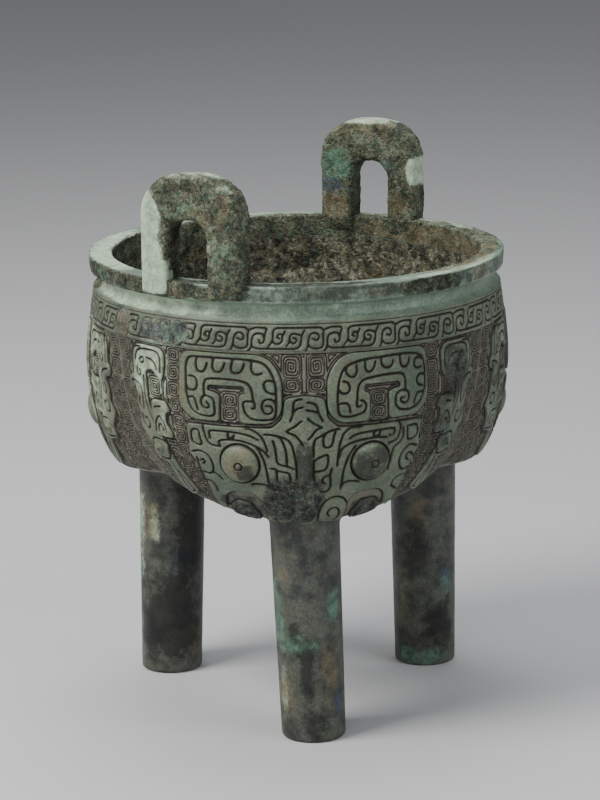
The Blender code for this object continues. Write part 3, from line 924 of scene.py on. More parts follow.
# Raised forms across the middle line, as their right half
MIDDLE_PLATES = {
    "face": (
        (0, 17.4, 0), (8, 18.6, 2.5), (9.2, 27, 4), (13.5, 31, 3), (51.8, 31.4, 1.8), (51, 40, 3),
        (51.6, 44, 2), (48, 50, 4), (44.5, 62, 6), (40.5, 74, 3), (37.2, 72, 1.5), (35.8, 61.2, 7),
        (19.2, 60.8, 6.5), (17.6, 79, 3), (6, 82.5, 3), (0, 82.5, 0),
    ),
    "nose": (
        (0, 40, 0), (2.2, 41, 1), (2.9, 56, 3), (5.2, 63.5, 3), (4.8, 76, 3), (0, 79.6, 0),
    ),
}
# Eyes, as middle (across, down) and radius
EYE = (27.4, 47.0, 8.1)
DRAGON_EYE = (70.6, 46.7, 2.5)
# What is drawn on the right stands mirrored on the left
BOTH_SIDES = (1.0, -1.0)

# Grooves, as points (across, down) on smooth lines, across from the middle to either side
RIGHT_GROOVES = (
    ((22.8, 20.6), (24.2, 21.2), (25, 23), (24.3, 25.2), (22, 26.2), (18, 27), (14.5, 26.5), (13.5, 24.5),
     (13.2, 20), (13.6, 15), (14.5, 11), (16, 8), (18.5, 6.3), (23, 5.1), (28, 4.5), (33, 4.3), (40, 4),
     (46, 4.2), (50, 4.9), (52, 6.3), (53, 9), (53, 14), (52.6, 19), (51.5, 22), (49.5, 24.7), (46.5, 26.3),
     (43.5, 26.7), (40, 26), (38.3, 24), (38.1, 21.5), (39, 19.2), (41.5, 18.3), (43.8, 19), (44.6, 21),
     (44, 23), (42.5, 23.8), (40.8, 23), (40.6, 21.6), (41.7, 21.3)),
    ((42.8, 18.2), (43, 14.5), (42.5, 12.3), (41, 11.2), (37, 11), (33, 11.1), (28, 11.6), (24.5, 12.3),
     (22.5, 14), (21.6, 16.5), (21.3, 20), (21, 22), (21.6, 23.3), (22.6, 23)),
    ((17.3, 7), (17.2, 9), (18.5, 10.5), (20, 10.9), (21.3, 9.8), (21.7, 8), (21.6, 6.8)),
    ((25.5, 5), (25.3, 7.5), (26, 9), (27.5, 9.2), (29, 8), (29.8, 6)),
    ((32.6, 4.5), (32.7, 7), (33.8, 8.2), (35.5, 8.4), (37, 7.8), (37.8, 6.5)),
    ((41.3, 4.3), (41.3, 7.5), (42.3, 8.8), (43.8, 8.8), (45, 7.8), (45.6, 6.2)),
    ((51.6, 6.4), (49, 6.3), (48, 7.5), (48, 9.3), (49.3, 10), (51.3, 9.8)),
    ((52.5, 12.9), (50.3, 12.8), (49, 14), (48.8, 16), (49.8, 17.2), (51.2, 17.5)),
    ((52, 20.2), (49, 20.5), (47.8, 22.5), (47, 24.5)),
    ((15.8, 12.3), (17.5, 13), (18.3, 14.5), (18, 16.5), (16.7, 17.4), (15, 17.2), (13.8, 16)),
    ((13.5, 22), (15, 21.3), (17, 21.5), (18, 23), (18.3, 25)),
    # forehead and nose
    ((1, 20.3), (3.6, 20.9), (4.9, 22.4), (5.5, 25), (7, 28)),
    ((1, 23.6), (3, 24), (5.2, 24.8)),
    ((1.2, 27.2), (3.5, 29.2), (6.8, 31), (4.6, 31.8), (1.4, 35.8)),
    ((3.3, 43), (3.3, 38.5), (4, 36), (6.5, 34.5), (8.5, 33.3), (11, 32.2), (13.5, 31.8)),
    ((12.2, 33), (11.5, 34.8), (11, 37.5), (10, 39.3), (8.2, 39.6), (7.3, 38.3), (7.3, 35.5), (7.8, 34)),
    ((3.4, 45.2), (5.5, 43.8), (8.8, 42.7), (9.2, 44.5), (9, 47), (8, 49), (6, 49.7), (3.5, 50)),
    ((3.2, 45), (3.2, 50.3), (3.6, 54), (4.3, 57), (6, 59.3), (8.5, 59.6), (10, 58), (10.4, 55), (10.1, 52),
     (10.7, 48.9)),
    ((10, 51.8), (8, 52.3), (7, 53.5), (7, 54.8), (8, 55.5)),
    # brow and eye
    ((13, 47.5), (13.3, 43), (14, 38.5), (15.3, 34.5), (17.5, 32.2), (20, 31.6), (23, 31.5)),
    ((18, 36.2), (20, 35), (23, 34.3), (28, 34), (33, 33.8), (37, 33.8), (38, 34.6), (37.6, 36.3)),
    ((13.6, 44), (15, 40.5), (17.5, 38.7), (21, 37.6), (25, 37.1), (30, 37), (34, 37.4)),
    ((14.8, 58.2), (15.3, 54), (15.8, 50), (17, 45.5), (18.8, 42), (20.6, 39.6)),
    ((14.8, 58.2), (15.6, 56.3), (17.5, 55.3), (20, 55.3), (22.5, 55.8)),
    ((35.9, 51.5), (37, 46.5), (37.6, 43.2), (39, 41.5), (41, 40.3), (42.3, 38), (42.2, 34.5)),
    ((40.2, 31.6), (40.8, 33.5), (40.5, 36), (39.5, 38.5), (37.8, 39.6), (35.8, 40.1)),
    ((28.5, 34.3), (28.3, 36.1), (30.6, 36.1), (31.2, 34.8)),
    ((35.6, 36.7), (35.9, 36.8)),
    ((44.3, 34.2), (47, 33.8), (49, 34.2), (49.8, 36), (49.3, 38.8), (47, 40), (44.8, 39.7), (44.5, 37),
     (44.3, 34.2)),
    # ear, cheek and jaw
    ((50, 43.6), (47, 42.5), (44.2, 43.6), (42.2, 46), (41.4, 49), (42.2, 52.2), (44.5, 53.7),
     (47.2, 52.6)),
    ((48.3, 47.4), (47, 46), (45.3, 46.6), (44.9, 48.4), (45.9, 49.4)),
    ((44.4, 56.3), (42, 56.8), (40, 58.5), (39.3, 61), (40.5, 62), (41.8, 63)),
    ((5.8, 79), (5.6, 73), (6.2, 69), (8, 65), (11, 62.7), (14, 62.4), (16.8, 63.8), (18.3, 66.3)),
    ((13, 78.5), (14.8, 75), (15.2, 71.5), (14.4, 69), (12.5, 68.2), (10.5, 69.3), (9.8, 71.5),
     (10.6, 73.2)),
)
LEFT_GROOVES = (
    ((40.6, 21.8), (39.8, 22.8), (40.3, 24), (42, 24), (43.3, 22.5), (43.3, 20.5), (42, 19.2),
     (40, 19.3), (38, 20), (37.4, 22), (37.2, 25.5), (38, 27), (41.5, 27.6), (45.5, 26.8), (48, 25),
     (49.5, 22), (50.5, 18), (50.8, 13), (51, 8), (50.5, 5.5), (49, 4.2), (46, 3.9), (37, 3.8),
     (27, 3.9), (21, 4.3), (17, 5.2), (14.8, 6.8), (13, 9.5), (11.8, 13), (11.4, 17), (11.4, 22),
     (11.7, 25.5), (12.9, 27.2), (16, 27.7), (19.5, 27.7), (22, 27), (24, 25), (24.8, 22),
     (24.6, 20.6), (22.6, 20.1), (21, 20.3)),
    ((41.8, 18.8), (42.2, 15), (41.5, 12.5), (39.5, 11.8), (35, 11.6), (29, 11.7), (24.5, 12.4),
     (22.3, 13.8), (21.3, 16), (20.8, 19), (20, 21.5), (20.3, 23), (21.3, 23)),
    ((46, 4.3), (46.2, 7), (45, 9), (43, 9.3), (41.8, 8), (41, 6)),
    ((38.3, 4.3), (38.5, 7), (37.5, 8.7), (35.5, 8.9), (34, 7.8), (33.2, 5.8)),
    ((29.7, 4.5), (30.3, 7), (29.8, 8.6), (28, 9), (26, 8.3), (24.7, 5.8)),
    ((21.7, 5), (21.6, 7.5), (20.5, 8.9), (18.8, 9.2), (17.2, 8.6)),
    ((48.8, 11.4), (46.5, 11.9), (45.5, 13.5), (45.6, 15.8), (47, 17.2), (49, 17.2), (50.3, 16)),
    ((49.6, 20.3), (47, 20.2), (45.8, 22.5), (45, 25)),
    ((12.4, 11.8), (15, 11.5), (16.4, 13), (15.6, 15.5), (14, 16.6), (12.3, 16.8)),
    ((11.6, 20.8), (13, 19.3), (15.5, 19.2), (17, 20.8), (17, 23), (16, 24.8), (14, 25),
     (12.9, 23.7), (13.4, 22), (15, 21.8)),
    # forehead and nose
    ((1.6, 19), (3.3, 19.4), (4.4, 20.4), (4.6, 23), (5, 25.5), (5.8, 27.6)),
    ((1.2, 22.4), (3, 22.9), (4.4, 24.3)),
    ((1.8, 28.3), (4, 30.2), (7.4, 32.4), (4.2, 34), (2.2, 36.2), (1, 38.2)),
    ((16.3, 33.7), (13, 34), (9.5, 34.8), (7, 36), (5.3, 38.5), (4.5, 42), (3.8, 46), (3.6, 50),
     (3.6, 55)),
    ((13, 36.3), (12.3, 39), (11.8, 42.5), (11.5, 45.5), (10, 46.8), (7, 47.5), (5, 48.5)),
    ((10, 35.2), (9, 37), (8, 40), (7.5, 44), (7.6, 46.5)),
    ((14, 48.3), (12, 49), (11.8, 52), (11.6, 56), (11, 58)),
    ((12, 49.2), (9, 50), (7, 50.5), (6.3, 52.5), (6.5, 54.5), (8, 55), (8.3, 54)),
    # brow and eye
    ((24, 31.5), (21, 32.3), (18.5, 34), (17, 36), (16, 38.5), (15.3, 41)),
    ((35.5, 40), (36, 38), (34, 37.2), (31, 37), (27, 37), (24, 37.6), (21, 38.6), (18, 40.2),
     (16.3, 41.7), (15, 43.3)),
    ((40, 36.8), (40.3, 34.2), (39, 33.6), (35, 33.5), (30, 33.5), (25.5, 34), (22, 34.8),
     (19.3, 36.2)),
    ((43.2, 31.6), (42.8, 34), (42, 37), (40.5, 39.3), (38, 40.1), (35.8, 40.2)),
    ((49, 39.2), (49.3, 36), (48.5, 34.2), (46.5, 33.9), (45.3, 34.6), (45, 37), (44.4, 40),
     (46.8, 40.5), (49, 39.2)),
    ((19.6, 39.6), (18, 42.5), (16.7, 46), (16, 50), (15.5, 54), (14.8, 57.3)),
    ((14.8, 57.3), (17, 56.2), (20, 55.8), (22.5, 56.1)),
    ((31.8, 34.4), (31.6, 36), (29.6, 36), (29.2, 34.9)),
    # ear, cheek and jaw
    ((49.8, 44.2), (46.5, 43.3), (43.5, 43.9), (41.5, 45.3), (40.3, 47.5), (39.9, 50), (40.5, 52.3),
     (42.5, 53.4), (45, 53)),
    ((40.3, 52.5), (38, 53.6), (36.2, 55.5)),
    ((47.8, 46.5), (47, 51), (45.8, 55), (44.8, 59), (43.8, 63)),
    ((45.3, 47.3), (44.4, 47), (43.8, 48), (44.6, 48.9)),
    ((44, 57), (41.5, 57.8), (40.2, 60), (40, 61.5)),
    ((5.8, 79), (5.6, 73), (6.2, 69), (8, 65), (11, 62.7), (14, 62.4), (16.8, 63.8), (18.3, 66.3)),
    ((13, 78.5), (14.8, 75), (15.2, 71.5), (14.4, 69), (12.5, 68.2), (10.5, 69.3), (9.8, 71.5),
     (10.6, 73.2)),
)
# Grooves of the dragon and its claw, on both sides
DRAGON_GROOVES = (
    ((23.2, 79), (23, 74), (25.6, 69.4), (30.2, 68.2), (32.8, 71.4), (32, 75.4), (28.8, 76.4),
     (27.8, 73.4)),
    ((80.6, 8.4), (79.6, 5.6), (77, 4.2), (72, 3.9), (67.6, 4.3), (65.2, 6.3), (64.8, 11.5)),
    ((77.6, 8.2), (76.4, 7.2), (75, 7.8), (75.2, 9.2), (76.6, 9.4)),
    ((73, 7.2), (70, 7.6), (67.6, 9.4), (67, 11)),
    ((79.3, 11.8), (79.8, 13.8), (78.4, 15.2), (77, 14.2), (77.4, 12.8)),
    ((83.8, 20), (84, 17.9), (81.4, 18), (78.3, 19.2), (77, 21), (76.8, 25), (77.2, 28.8)),
    ((79.5, 24.6), (79.8, 27.4), (78.3, 29.4)),
    ((79, 32), (79.5, 35), (78, 37.6), (75.4, 37.8), (74.4, 35.6), (75.2, 33.6), (76.8, 33.4)),
    ((75.2, 45.2), (74.3, 42.4), (71, 42), (66.8, 42.5), (65, 44.5), (64.4, 48), (64.8, 50.2), (67, 51.2),
     (71.5, 50.9), (74.4, 50.2)),
    ((64, 52.5), (62, 57), (60, 62.6), (58.6, 66), (56.4, 67), (54.8, 65.4), (56, 63.8)),
    ((70.3, 37.8), (69.5, 33.8), (67, 31.2), (64.9, 33.2), (63.6, 36.4)),
    ((68.2, 38), (67.9, 35.4), (66.5, 34.6), (65.4, 36.4)),
    ((69.3, 27.4), (66, 26.8)),
    ((82.6, 14.6), (82.7, 7), (81, 3.8), (77.5, 3.2)),
    ((75.2, 14.8), (75, 24), (73.4, 30), (71.6, 34)),
    ((61.2, 56), (57.8, 61), (54.4, 65.4)),
    ((82.2, 22.6), (82.2, 20.4)),
)
# One repeat of the spiral band: a linked pair of spirals, then a single one
BAND_REPEAT = 31.767
BAND_START = 8.8
BAND_GROOVES = (
    ((0, -0.8), (1, -2.2), (1.2, -5), (2, -6.9), (3.8, -7.6), (5.8, -7.3), (6.5, -5.6), (6, -4),
     (4.6, -3.8), (4.3, -5)),
    ((7.5, -9.2), (6.8, -7.4), (6.5, -5.6)),
    ((0.6, -9.2), (3, -9.9), (7, -9.9)),
    ((1.2, -2.4), (3.2, -1.6), (8, -1.5), (14, -1.5), (19.2, -1.5), (21.2, -2.4), (21.9, -4.5), (22.4, -7),
     (23.4, -8.8)),
    ((8.2, -2.5), (9.7, -4.3), (10.2, -6.5), (10.2, -8.5), (11.5, -9.7), (14.2, -9.9), (22, -9.9),
     (30, -9.9)),
    ((10, -4.9), (10.8, -3.7), (12.5, -3.5), (13.9, -4.6), (14.2, -6.5), (15.2, -8.5)),
    ((13.9, -7.3), (12.5, -7.3), (11.9, -6.2), (12.8, -5.7)),
    ((15.9, -2.7), (17, -4.2), (17.2, -6.4), (18.4, -7.5), (20.3, -7.4), (21.6, -6.8)),
    ((17, -5), (18.2, -3.8), (19.7, -4), (20, -5.4), (18.9, -5.9)),
    ((23.9, -0.8), (24.7, -2.5), (25.1, -5.3), (26, -7.2), (27.7, -7.8), (29.2, -7), (29.4, -5.5),
     (28.5, -4.8), (27.2, -5.3)),
    ((25, -3), (26.2, -1.8), (28.7, -1.5), (30.7, -2.1), (31.2, -4), (31.2, -7), (31.5, -8.8),
     (30.2, -9.8)),
)
# Spirals of the thunder pattern: across, down, half width, half height, way of turning
SPIRALS = (
    (5.2, 6.2, 3.3, 4, 1), (5.1, 13.4, 3.2, 2.8, -1), (30.9, 20.3, 3, 2.8, 1), (30.9, 26.2, 2.9, 2.6, -1),
    (58.4, 4.6, 2.9, 2.7, 1), (58.3, 11.2, 3.1, 3.4, -1), (58, 18.7, 3.1, 3.5, 1),
    (57.4, 25.6, 2.6, 2.8, -1), (56.4, 31.8, 2.9, 2.8, 1), (56, 38, 2.7, 2.8, -1), (55.6, 44.6, 3, 3.1, 1),
    (54.2, 51.4, 2.7, 2.9, -1), (51.2, 57.6, 2.7, 2.7, 1), (61.6, 47.8, 2, 2.6, 1), (69, 18.9, 4.2, 4.7, 1),
    (90.6, 6, 4, 4.4, 1), (91.2, 15, 3.4, 3.6, -1), (90.6, 23.4, 4, 3.8, 1), (88.6, 31.4, 3.6, 3.4, -1),
    (90.2, 39.2, 3.9, 3.6, 1), (85, 45.4, 3.4, 2.8, -1), (91, 47.2, 2.6, 3.4, 1), (81.4, 52.6, 3.2, 3.4, 1),
    (89, 55, 3.4, 3.4, -1), (72.6, 57.6, 3.2, 3, -1), (80.4, 60.4, 3.2, 3.2, 1), (69, 64.6, 3.2, 3.2, 1),
    (88, 63, 3.4, 3.4, 1), (76.4, 67.4, 3, 3, -1),
)

# Patches on the lobes: across and down, in millimetres
LOBE_EVERYWHERE = (
    *Stain.DARK.at((28, 74, 9.5, 10, 0.8), (-28, 74, 9.5, 10, 0.8), (0, 86, 96, 3.5, 0.4)),
    *Stain.CRUST.at((28, 73, 7, 7, 0.55), (-28, 73, 7, 7, 0.55)),
)
LOBE_PATCHES = (
    (
        *Stain.CRUST.at((50, -6, 22, 6, 0.8)),
        *Stain.PALE.at((55, 20, 34, 30, 0.5)),
        *Stain.RUST.at((62, 28, 36, 34, 0.35)),
        *Stain.DARK.at((-40, 50, 40, 26, 0.5), (0, 64, 14, 14, 0.7)),
        *Stain.GREEN.at((-20, -6, 20, 6, 0.6)),
    ),
    (
        *Stain.CRUST.at(
            (-66, -6, 16, 5.6), (-91, -5, 8, 8), (-5, 65, 15, 12), (0, 50, 3, 8, 0.4),
            (72, 12, 7, 8, 0.45)),
        *Stain.RUST.at(
            (-90, -4, 6, 7, 0.7), (30, 44, 5, 4, 0.5), (-27, 47, 9, 9, 0.45), (-66, 24, 20, 26, 0.4),
            (-30, 5, 60, 5, 0.2), (17, 17, 7, 6, 0.3)),
        *Stain.BLUE.at((-72, -6, 9, 4, 0.38)),
        *Stain.GREEN.at((-58, -5.5, 7, 4.5, 0.4)),
        *Stain.DARK.at(
            (-4, 64, 16, 13, 0.8), (0, 47, 4, 11, 0.85), (27.4, 47, 8.6, 8.6, 0.7),
            (-24.5, 50, 4.5, 5, 0.7), (72, 14, 10, 15, 0.7), (-30, 66, 12, 4, 0.8),
            (62, 40, 10, 22, 0.5)),
        *Stain.PALE.at((-70, 12, 14, 16, 0.7), (-62, 34, 8, 12, 0.4)),
    ),
    (
        *Stain.DARK.at((-64, 24, 22, 26, 0.5), (20, 55, 26, 22, 0.55)),
        *Stain.PALE.at((-72, 20, 8, 22, 0.3)),
        *Stain.CRUST.at((30, -6, 26, 5.6, 0.9), (2, 66, 11, 9, 0.8)),
        *Stain.GREEN.at((34, -5, 20, 5, 0.6)),
        *Stain.BLUE.at((48, -5, 7, 4, 0.5)),
        *Stain.RUST.at((70, 50, 22, 18, 0.3)),
    ),
)


def curved(points: tuple, step: float = 0.8) -> np.ndarray:
    """Smooth line through points.

    Args:
        points: Points as (across, down).
        step: Spacing of the returned points.

    Returns:
        Points as rows.
    """
    knots = np.array(points, float)
    if len(knots) < 3:
        return divided(knots, step)
    knots = np.concatenate((2.0 * knots[:1] - knots[1:2], knots, 2.0 * knots[-1:] - knots[-2:-1]))
    line = []
    for before, start, end, after in zip(knots, knots[1:], knots[2:], knots[3:]):
        count = max(round(math.dist(start, end) / step), 1)
        t = (np.arange(count) / count)[:, None]
        line.append(
            start + 0.5 * t * (end - before)
            + t ** 2 * (before - 2.5 * start + 2.0 * end - 0.5 * after)
            + t ** 3 * (1.5 * (start - end) + 0.5 * (after - before)))
    line.append(knots[-2:-1])
    return np.concatenate(line)


@dataclass
class Carving:
    """The animal mask, its dragons, the thunder pattern and the spiral band, drawn for one lobe.

    Sizes are in millimetres, and heights count from the field between the raised forms.
    A groove is its width at the lips and its depth. A pupil is its place in the eye and
    its radius, the band's foot and head are a place and the width of a bevel, and the
    jaw's gap in the ground is an oval, by its middle and half sizes.
    """

    form: BowlForm
    plate: float = 1.1
    plate_slope: float = 0.6
    nose: float = 2.6
    nose_slope: float = 1.6
    eye_top: float = 4.7
    dragon_eye_top: float = 2.3
    mask_groove: tuple[float, float] = (1.5, 0.85)
    dragon_groove: tuple[float, float] = (1.3, 0.8)
    pupil_groove: tuple[float, float] = (1.1, 0.6)
    pupil: tuple[float, float, float] = (0.6, -0.2, 1.5)
    bead_groove: tuple[float, float] = (0.9, 0.6)
    bead: float = 0.5
    band_groove: tuple[float, float] = (1.35, 0.65)
    edge_groove: tuple[float, float] = (0.7, 0.35)
    ring_groove: tuple[float, float] = (0.5, 0.40)
    pitch: float = 0.96
    ring_reach: float = 3.0
    corner_power: float = 4.5
    band_rise: float = 0.55
    band_foot: tuple[float, float] = (0.1, 0.7)
    band_head: tuple[float, float] = (12.9, 0.8)
    band_lines: tuple[float, ...] = (-0.15, -0.8, -12.1)
    edge_line: float = -11.4
    segment: float = 0.35
    spacing: float = 1.25
    jaw_gap: tuple[float, ...] = (28.0, 72.0, 10.0, 12.0)
    lowest: float = 82.0
    side_gap: float = 0.4
    crust_filling: float = 0.7
    ground_height: float = 0.5
    ground_end: float = 84.0
    # Width of the painted shade that darkens the ground along the feet of the raised forms
    plate_foot_shade_reach: float = 0.7
    earth_in_ground: tuple[float, float] = (0.14, 0.26)
    earth_in_groove: float = 0.6
    roughness: tuple[float, float] = (0.55, 0.07)
    smooth_edge: float = 2.0

    def __post_init__(self) -> None:
        """Draw the carving once, for every lobe."""
        top = (self.form.band_bottom - self.form.band_top) / MM
        self.sheet = Sheet(self.form.field_width, top, self.form.field_height)
        self.draw_plates()
        self.draw_ground()
        self.draw_grooves()
        self.draw_band()
        self.places, self.faces = self.sheet.meshed(self.spacing)

    def draw_plates(self) -> None:
        """Draw the raised forms."""
        for name, corners in MIDDLE_PLATES.items():
            half = rounded(corners, closed=False)
            whole = np.concatenate((half, (half * (-1.0, 1.0))[-2:0:-1]))
            if name == "nose":
                self.sheet.add_plate(whole, self.nose, self.nose_slope)
            else:
                self.sheet.add_plate(whole, self.plate, self.plate_slope)
        for corners in PLATES.values():
            for side in BOTH_SIDES:
                self.sheet.add_plate(rounded(corners) * (side, 1.0), self.plate, self.plate_slope)
        for side in BOTH_SIDES:
            for (across, down, radius), top in ((EYE, self.eye_top), (DRAGON_EYE, self.dragon_eye_top)):
                self.sheet.add_dome(side * across, down, radius, top, self.plate)

    def draw_ground(self) -> None:
        """Fill the ground with square spirals, and with lines that follow the forms."""
        sheet = self.sheet
        power = self.corner_power
        across, down = np.meshgrid(sheet.xs, sheet.ys)
        phase = np.minimum(sheet.clear, down) / self.pitch + 0.5
        for x, y, half_width, half_height, way in SPIRALS:
            edge = min(half_width, half_height)
            ring = circle(61)
            ring = np.sign(ring) * np.abs(ring) ** (2.0 / power) * (half_width, half_height)
            for side in BOTH_SIDES:
                dx, dy = (across - side * x) / half_width, (down - y) / half_height
                reach = (np.abs(dx) ** power + np.abs(dy) ** power) ** (1.0 / power) * edge
                turns = side * way * np.arctan2(dy, dx) / (2.0 * math.pi)
                spiral = (edge - reach) / self.pitch + turns
                beyond = np.minimum(phase, (reach - edge) / self.pitch + 0.5)
                round_it = np.where(reach < edge + self.ring_reach, beyond, phase)
                phase = np.where(reach < edge, spiral, round_it)
                sheet.add_groove(ring + (side * x, y), *self.ring_groove, 1.0)
        used = (sheet.rise < 0.02) & (down > 0.2) & (down < self.lowest)
        jaw_across, jaw_down, half_across, half_down = self.jaw_gap
        jaw = ((np.abs(across) - jaw_across) / half_across) ** 2 + ((down - jaw_down) / half_down) ** 2
        used &= (jaw > 1.0) & (np.abs(across) < self.form.field_width - self.side_gap)
        deep = self.ring_groove[1] * (0.5 - 0.5 * np.cos(2.0 * math.pi * phase))
        sheet.cut = np.maximum(sheet.cut, np.where(used, deep, 0.0))
        sheet.add_levels(phase, used & (sheet.clear > 0.2) & (sheet.near > 0.16), self.segment)

    def draw_grooves(self) -> None:
        """Draw the grooves of the raised forms."""
        for side, grooves in zip(BOTH_SIDES, (RIGHT_GROOVES, LEFT_GROOVES)):
            for points in grooves:
                self.sheet.add_groove(curved(points) * (side, 1.0), *self.mask_groove)
        for points in DRAGON_GROOVES:
            for side in BOTH_SIDES:
                self.sheet.add_groove(curved(points) * (side, 1.0), *self.dragon_groove)
        ring = circle(60)
        pupil_across, pupil_down, pupil = self.pupil
        for side in BOTH_SIDES:
            across, down, radius = side * EYE[0], EYE[1], EYE[2]
            self.sheet.add_groove(ring * (radius + 0.5) + (across, down), *self.dragon_groove)
            spot = (across + pupil_across, down + pupil_down)
            self.sheet.add_groove(ring * pupil + spot, *self.pupil_groove)
            spot = (side * DRAGON_EYE[0], DRAGON_EYE[1])
            self.sheet.add_groove(ring * self.bead + spot, *self.bead_groove)

    def draw_band(self) -> None:
        """Draw the spiral band."""
        sheet = self.sheet
        width = self.form.field_width
        foot, foot_slope = self.band_foot
        head, head_slope = self.band_head
        share = limited((sheet.ys + foot) / -foot_slope) * limited((sheet.ys + head) / head_slope)
        sheet.rise = np.maximum(sheet.rise, self.band_rise * share[:, None])
        for down in self.band_lines:
            sheet.draw(np.array(((-width, down), (width, down))))
        edge = np.array(((-width, self.edge_line), (width, self.edge_line)))
        sheet.add_groove(edge, *self.edge_groove)
        for number in range(-1, round(2.0 * width / BAND_REPEAT) + 1):
            start = BAND_START - 4.0 * BAND_REPEAT + number * BAND_REPEAT
            for points in BAND_GROOVES:
                line = curved(points) + (start, 0.0)
                if line[:, 0].max() > -width and line[:, 0].min() < width:
                    sheet.add_groove(line, *self.band_groove)

    def cast(self, lobe: int) -> Cast:
        """Lay the carving over one lobe.

        Args:
            lobe: Its number, from the one towards -Y.

        Returns:
            The carved surface, with its masks of stains, of grooves with painted shade at the feet of the
            raised forms, and of ground.
        """
        form, sheet = self.form, self.sheet
        across, down = self.places[:, 0], self.places[:, 1]
        rise, cut, clear = (
            sheet.sample(values, self.places) for values in (sheet.rise, sheet.cut, sheet.clear))
        angle = form.first_lobe + (2.0 * lobe + across / form.field_width) * math.pi / form.lobes
        distance = np.where(down > 0.0, down / form.field_height * form.side_length, down * MM)
        points = form.skin(angle, distance)
        masks = stained(self.places, points, LOBE_PATCHES[lobe] + LOBE_EVERYWHERE)
        cut *= 1.0 - self.crust_filling * masks["crust"]
        points = points + form.normal(angle, distance) * ((rise - cut) * MM)[:, None]
        cast = Cast(points, self.faces[:, ::-1], masks)
        ground = 1.0 - limited(rise / self.ground_height)
        ground = ground * (down > 0.0) * (down < self.ground_end)
        # Painted shade: the ground right at the foot of a raised form is darkened as a groove is.
        foot = np.where(rise < self.plate_foot_shade_reach, 1.0 - clear / self.plate_foot_shade_reach, 0.0)
        start, span = self.earth_in_ground
        earth = np.maximum((cut - start) / span, foot)
        cast.masks["cut"] = limited(np.where(ground > 0.5, earth, cut / self.earth_in_groove))
        cast.masks["ground"] = ground
        edge = np.minimum(form.field_width - np.abs(across), form.field_height - down)
        inward = np.minimum(edge, down - sheet.top)
        cast.roughen(*self.roughness, limited(inward / self.smooth_edge))
        return cast

    def build(self, lobe: int, name: str, material: bpy.types.Material) -> bpy.types.Object:
        """Build one lobe and dress it in a material."""
        return make_piece(name, self.cast(lobe), material)


# Plain forms

class Plain:
    """Part of the vessel that becomes one piece.

    Its roughness is the depth of its crust and of the casting's unevenness in millimetres.
    """

    name: str

    def cast(self) -> Cast:
        """Surface of the part."""
        raise NotImplementedError

    def build(self, material: bpy.types.Material) -> bpy.types.Object:
        """Build the part and dress it in a material."""
        return make_piece(self.name, self.cast(), material)


@dataclass(frozen=True)
class Collar(Plain):
    """Rim and neck, from the band's top over the lip and down inside.

    The outline's corners are radius, height and rounding in millimetres. Patches lie
    by the angle round the axis in degrees, and the distance along the outline.
    """

    name: str = "collar"
    roughness: tuple[float, float] = (0.6, 0.06)
    smooth_end: float = 1.5
    outline: tuple[tuple[float, float, float], ...] = (
        (87.0, 182.8, 0.0), (84.7, 184.2, 0.5), (84.0, 186.3, 1.6), (84.7, 188.4, 1.0), (88.6, 190.2, 0.7),
        (89.0, 197.0, 0.7), (79.0, 197.0, 0.9), (79.8, 186.3, 0.0),
    )
    step: float = 0.78
    patches: tuple[Patch, ...] = (
        # The pale patches on the rim's top, at -62, 80 and 190 degrees, are painted highlights, and the one
        # on the neck at -24 degrees is pale bronze with a painted highlight on it.
        *Stain.PALE.at(
            (-24, 5, 30, 5.5, 0.95), (25, 5, 50, 5, 0.3), (88, 14.5, 7, 4, 0.5),
            (-62, 23, 38, 5.6, 0.9), (80, 21, 30, 3, 0.7), (190, 21, 60, 3.6, 0.7)),
        *Stain.CRUST.at(
            (-22, 14.5, 37, 4.6), (-68, 8, 20, 12, 0.8), (9, 17.4, 8, 1.6, 0.7),
            (20, 22.5, 36, 4.6, 0.6), (65, 14.5, 13.5, 4.4, 0.9), (140, 14.5, 30, 6, 0.9),
            (215, 12, 30, 6, 0.9), (180, 34, 180, 9.5), (150, 25, 80, 6.5)),
        *Stain.DARK.at(
            (30, 14.8, 500, 3.6, 0.55), (10, 17, 7, 2, 0.9), (12.5, 14.6, 2.4, 2.6, 0.9),
            (38, 14.2, 4, 3, 0.85), (46, 17.2, 12, 1.2, 0.8), (17, 21.5, 40, 4.6, 0.75),
            (65, 14.5, 13.5, 4.4, 0.7), (30, 18.4, 24, 0.9, 0.7)),
        *Stain.RUST.at(
            (45, 14.8, 26, 3, 0.35), (88, 14.5, 6, 4, 0.6), (100, 24.5, 34, 5, 0.6),
            (150, 33, 40, 6, 0.7), (-8, 14.5, 4, 3, 0.4)),
        *Stain.GREEN.at(
            (60, 14, 6, 3, 0.4), (205, 20.5, 16, 3, 0.6), (-40, 14, 7, 3.4, 0.5),
            (110, 19, 18, 1.6, 0.6)),
    )

    def cast(self) -> Cast:
        """Turn the outline round the bowl's axis.

        Returns:
            The collar's surface.
        """
        line = divided(rounded(self.outline, closed=False, step=0.3), self.step)[::-1]
        steps = np.linalg.norm(np.diff(line[::-1], axis=0), axis=1)
        along = np.concatenate(([0.0], np.cumsum(steps)))[::-1]
        columns = round(2.0 * math.pi * max(corner[0] for corner in self.outline) / self.step)
        radius, turn = rings(line[:, 0] * MM, columns)
        height = np.repeat(line[:, 1] * MM, columns)
        cast = grid_cast(FORM.on_axis(radius, turn, height), columns)
        spots = np.stack((np.degrees(turn), np.repeat(along, columns)), axis=1)
        cast.masks = stained(spots, cast.points, self.patches, FULL_TURN)
        end = np.minimum(spots[:, 1], along.max() - spots[:, 1])
        cast.roughen(*self.roughness, limited(end / self.smooth_end))
        return cast


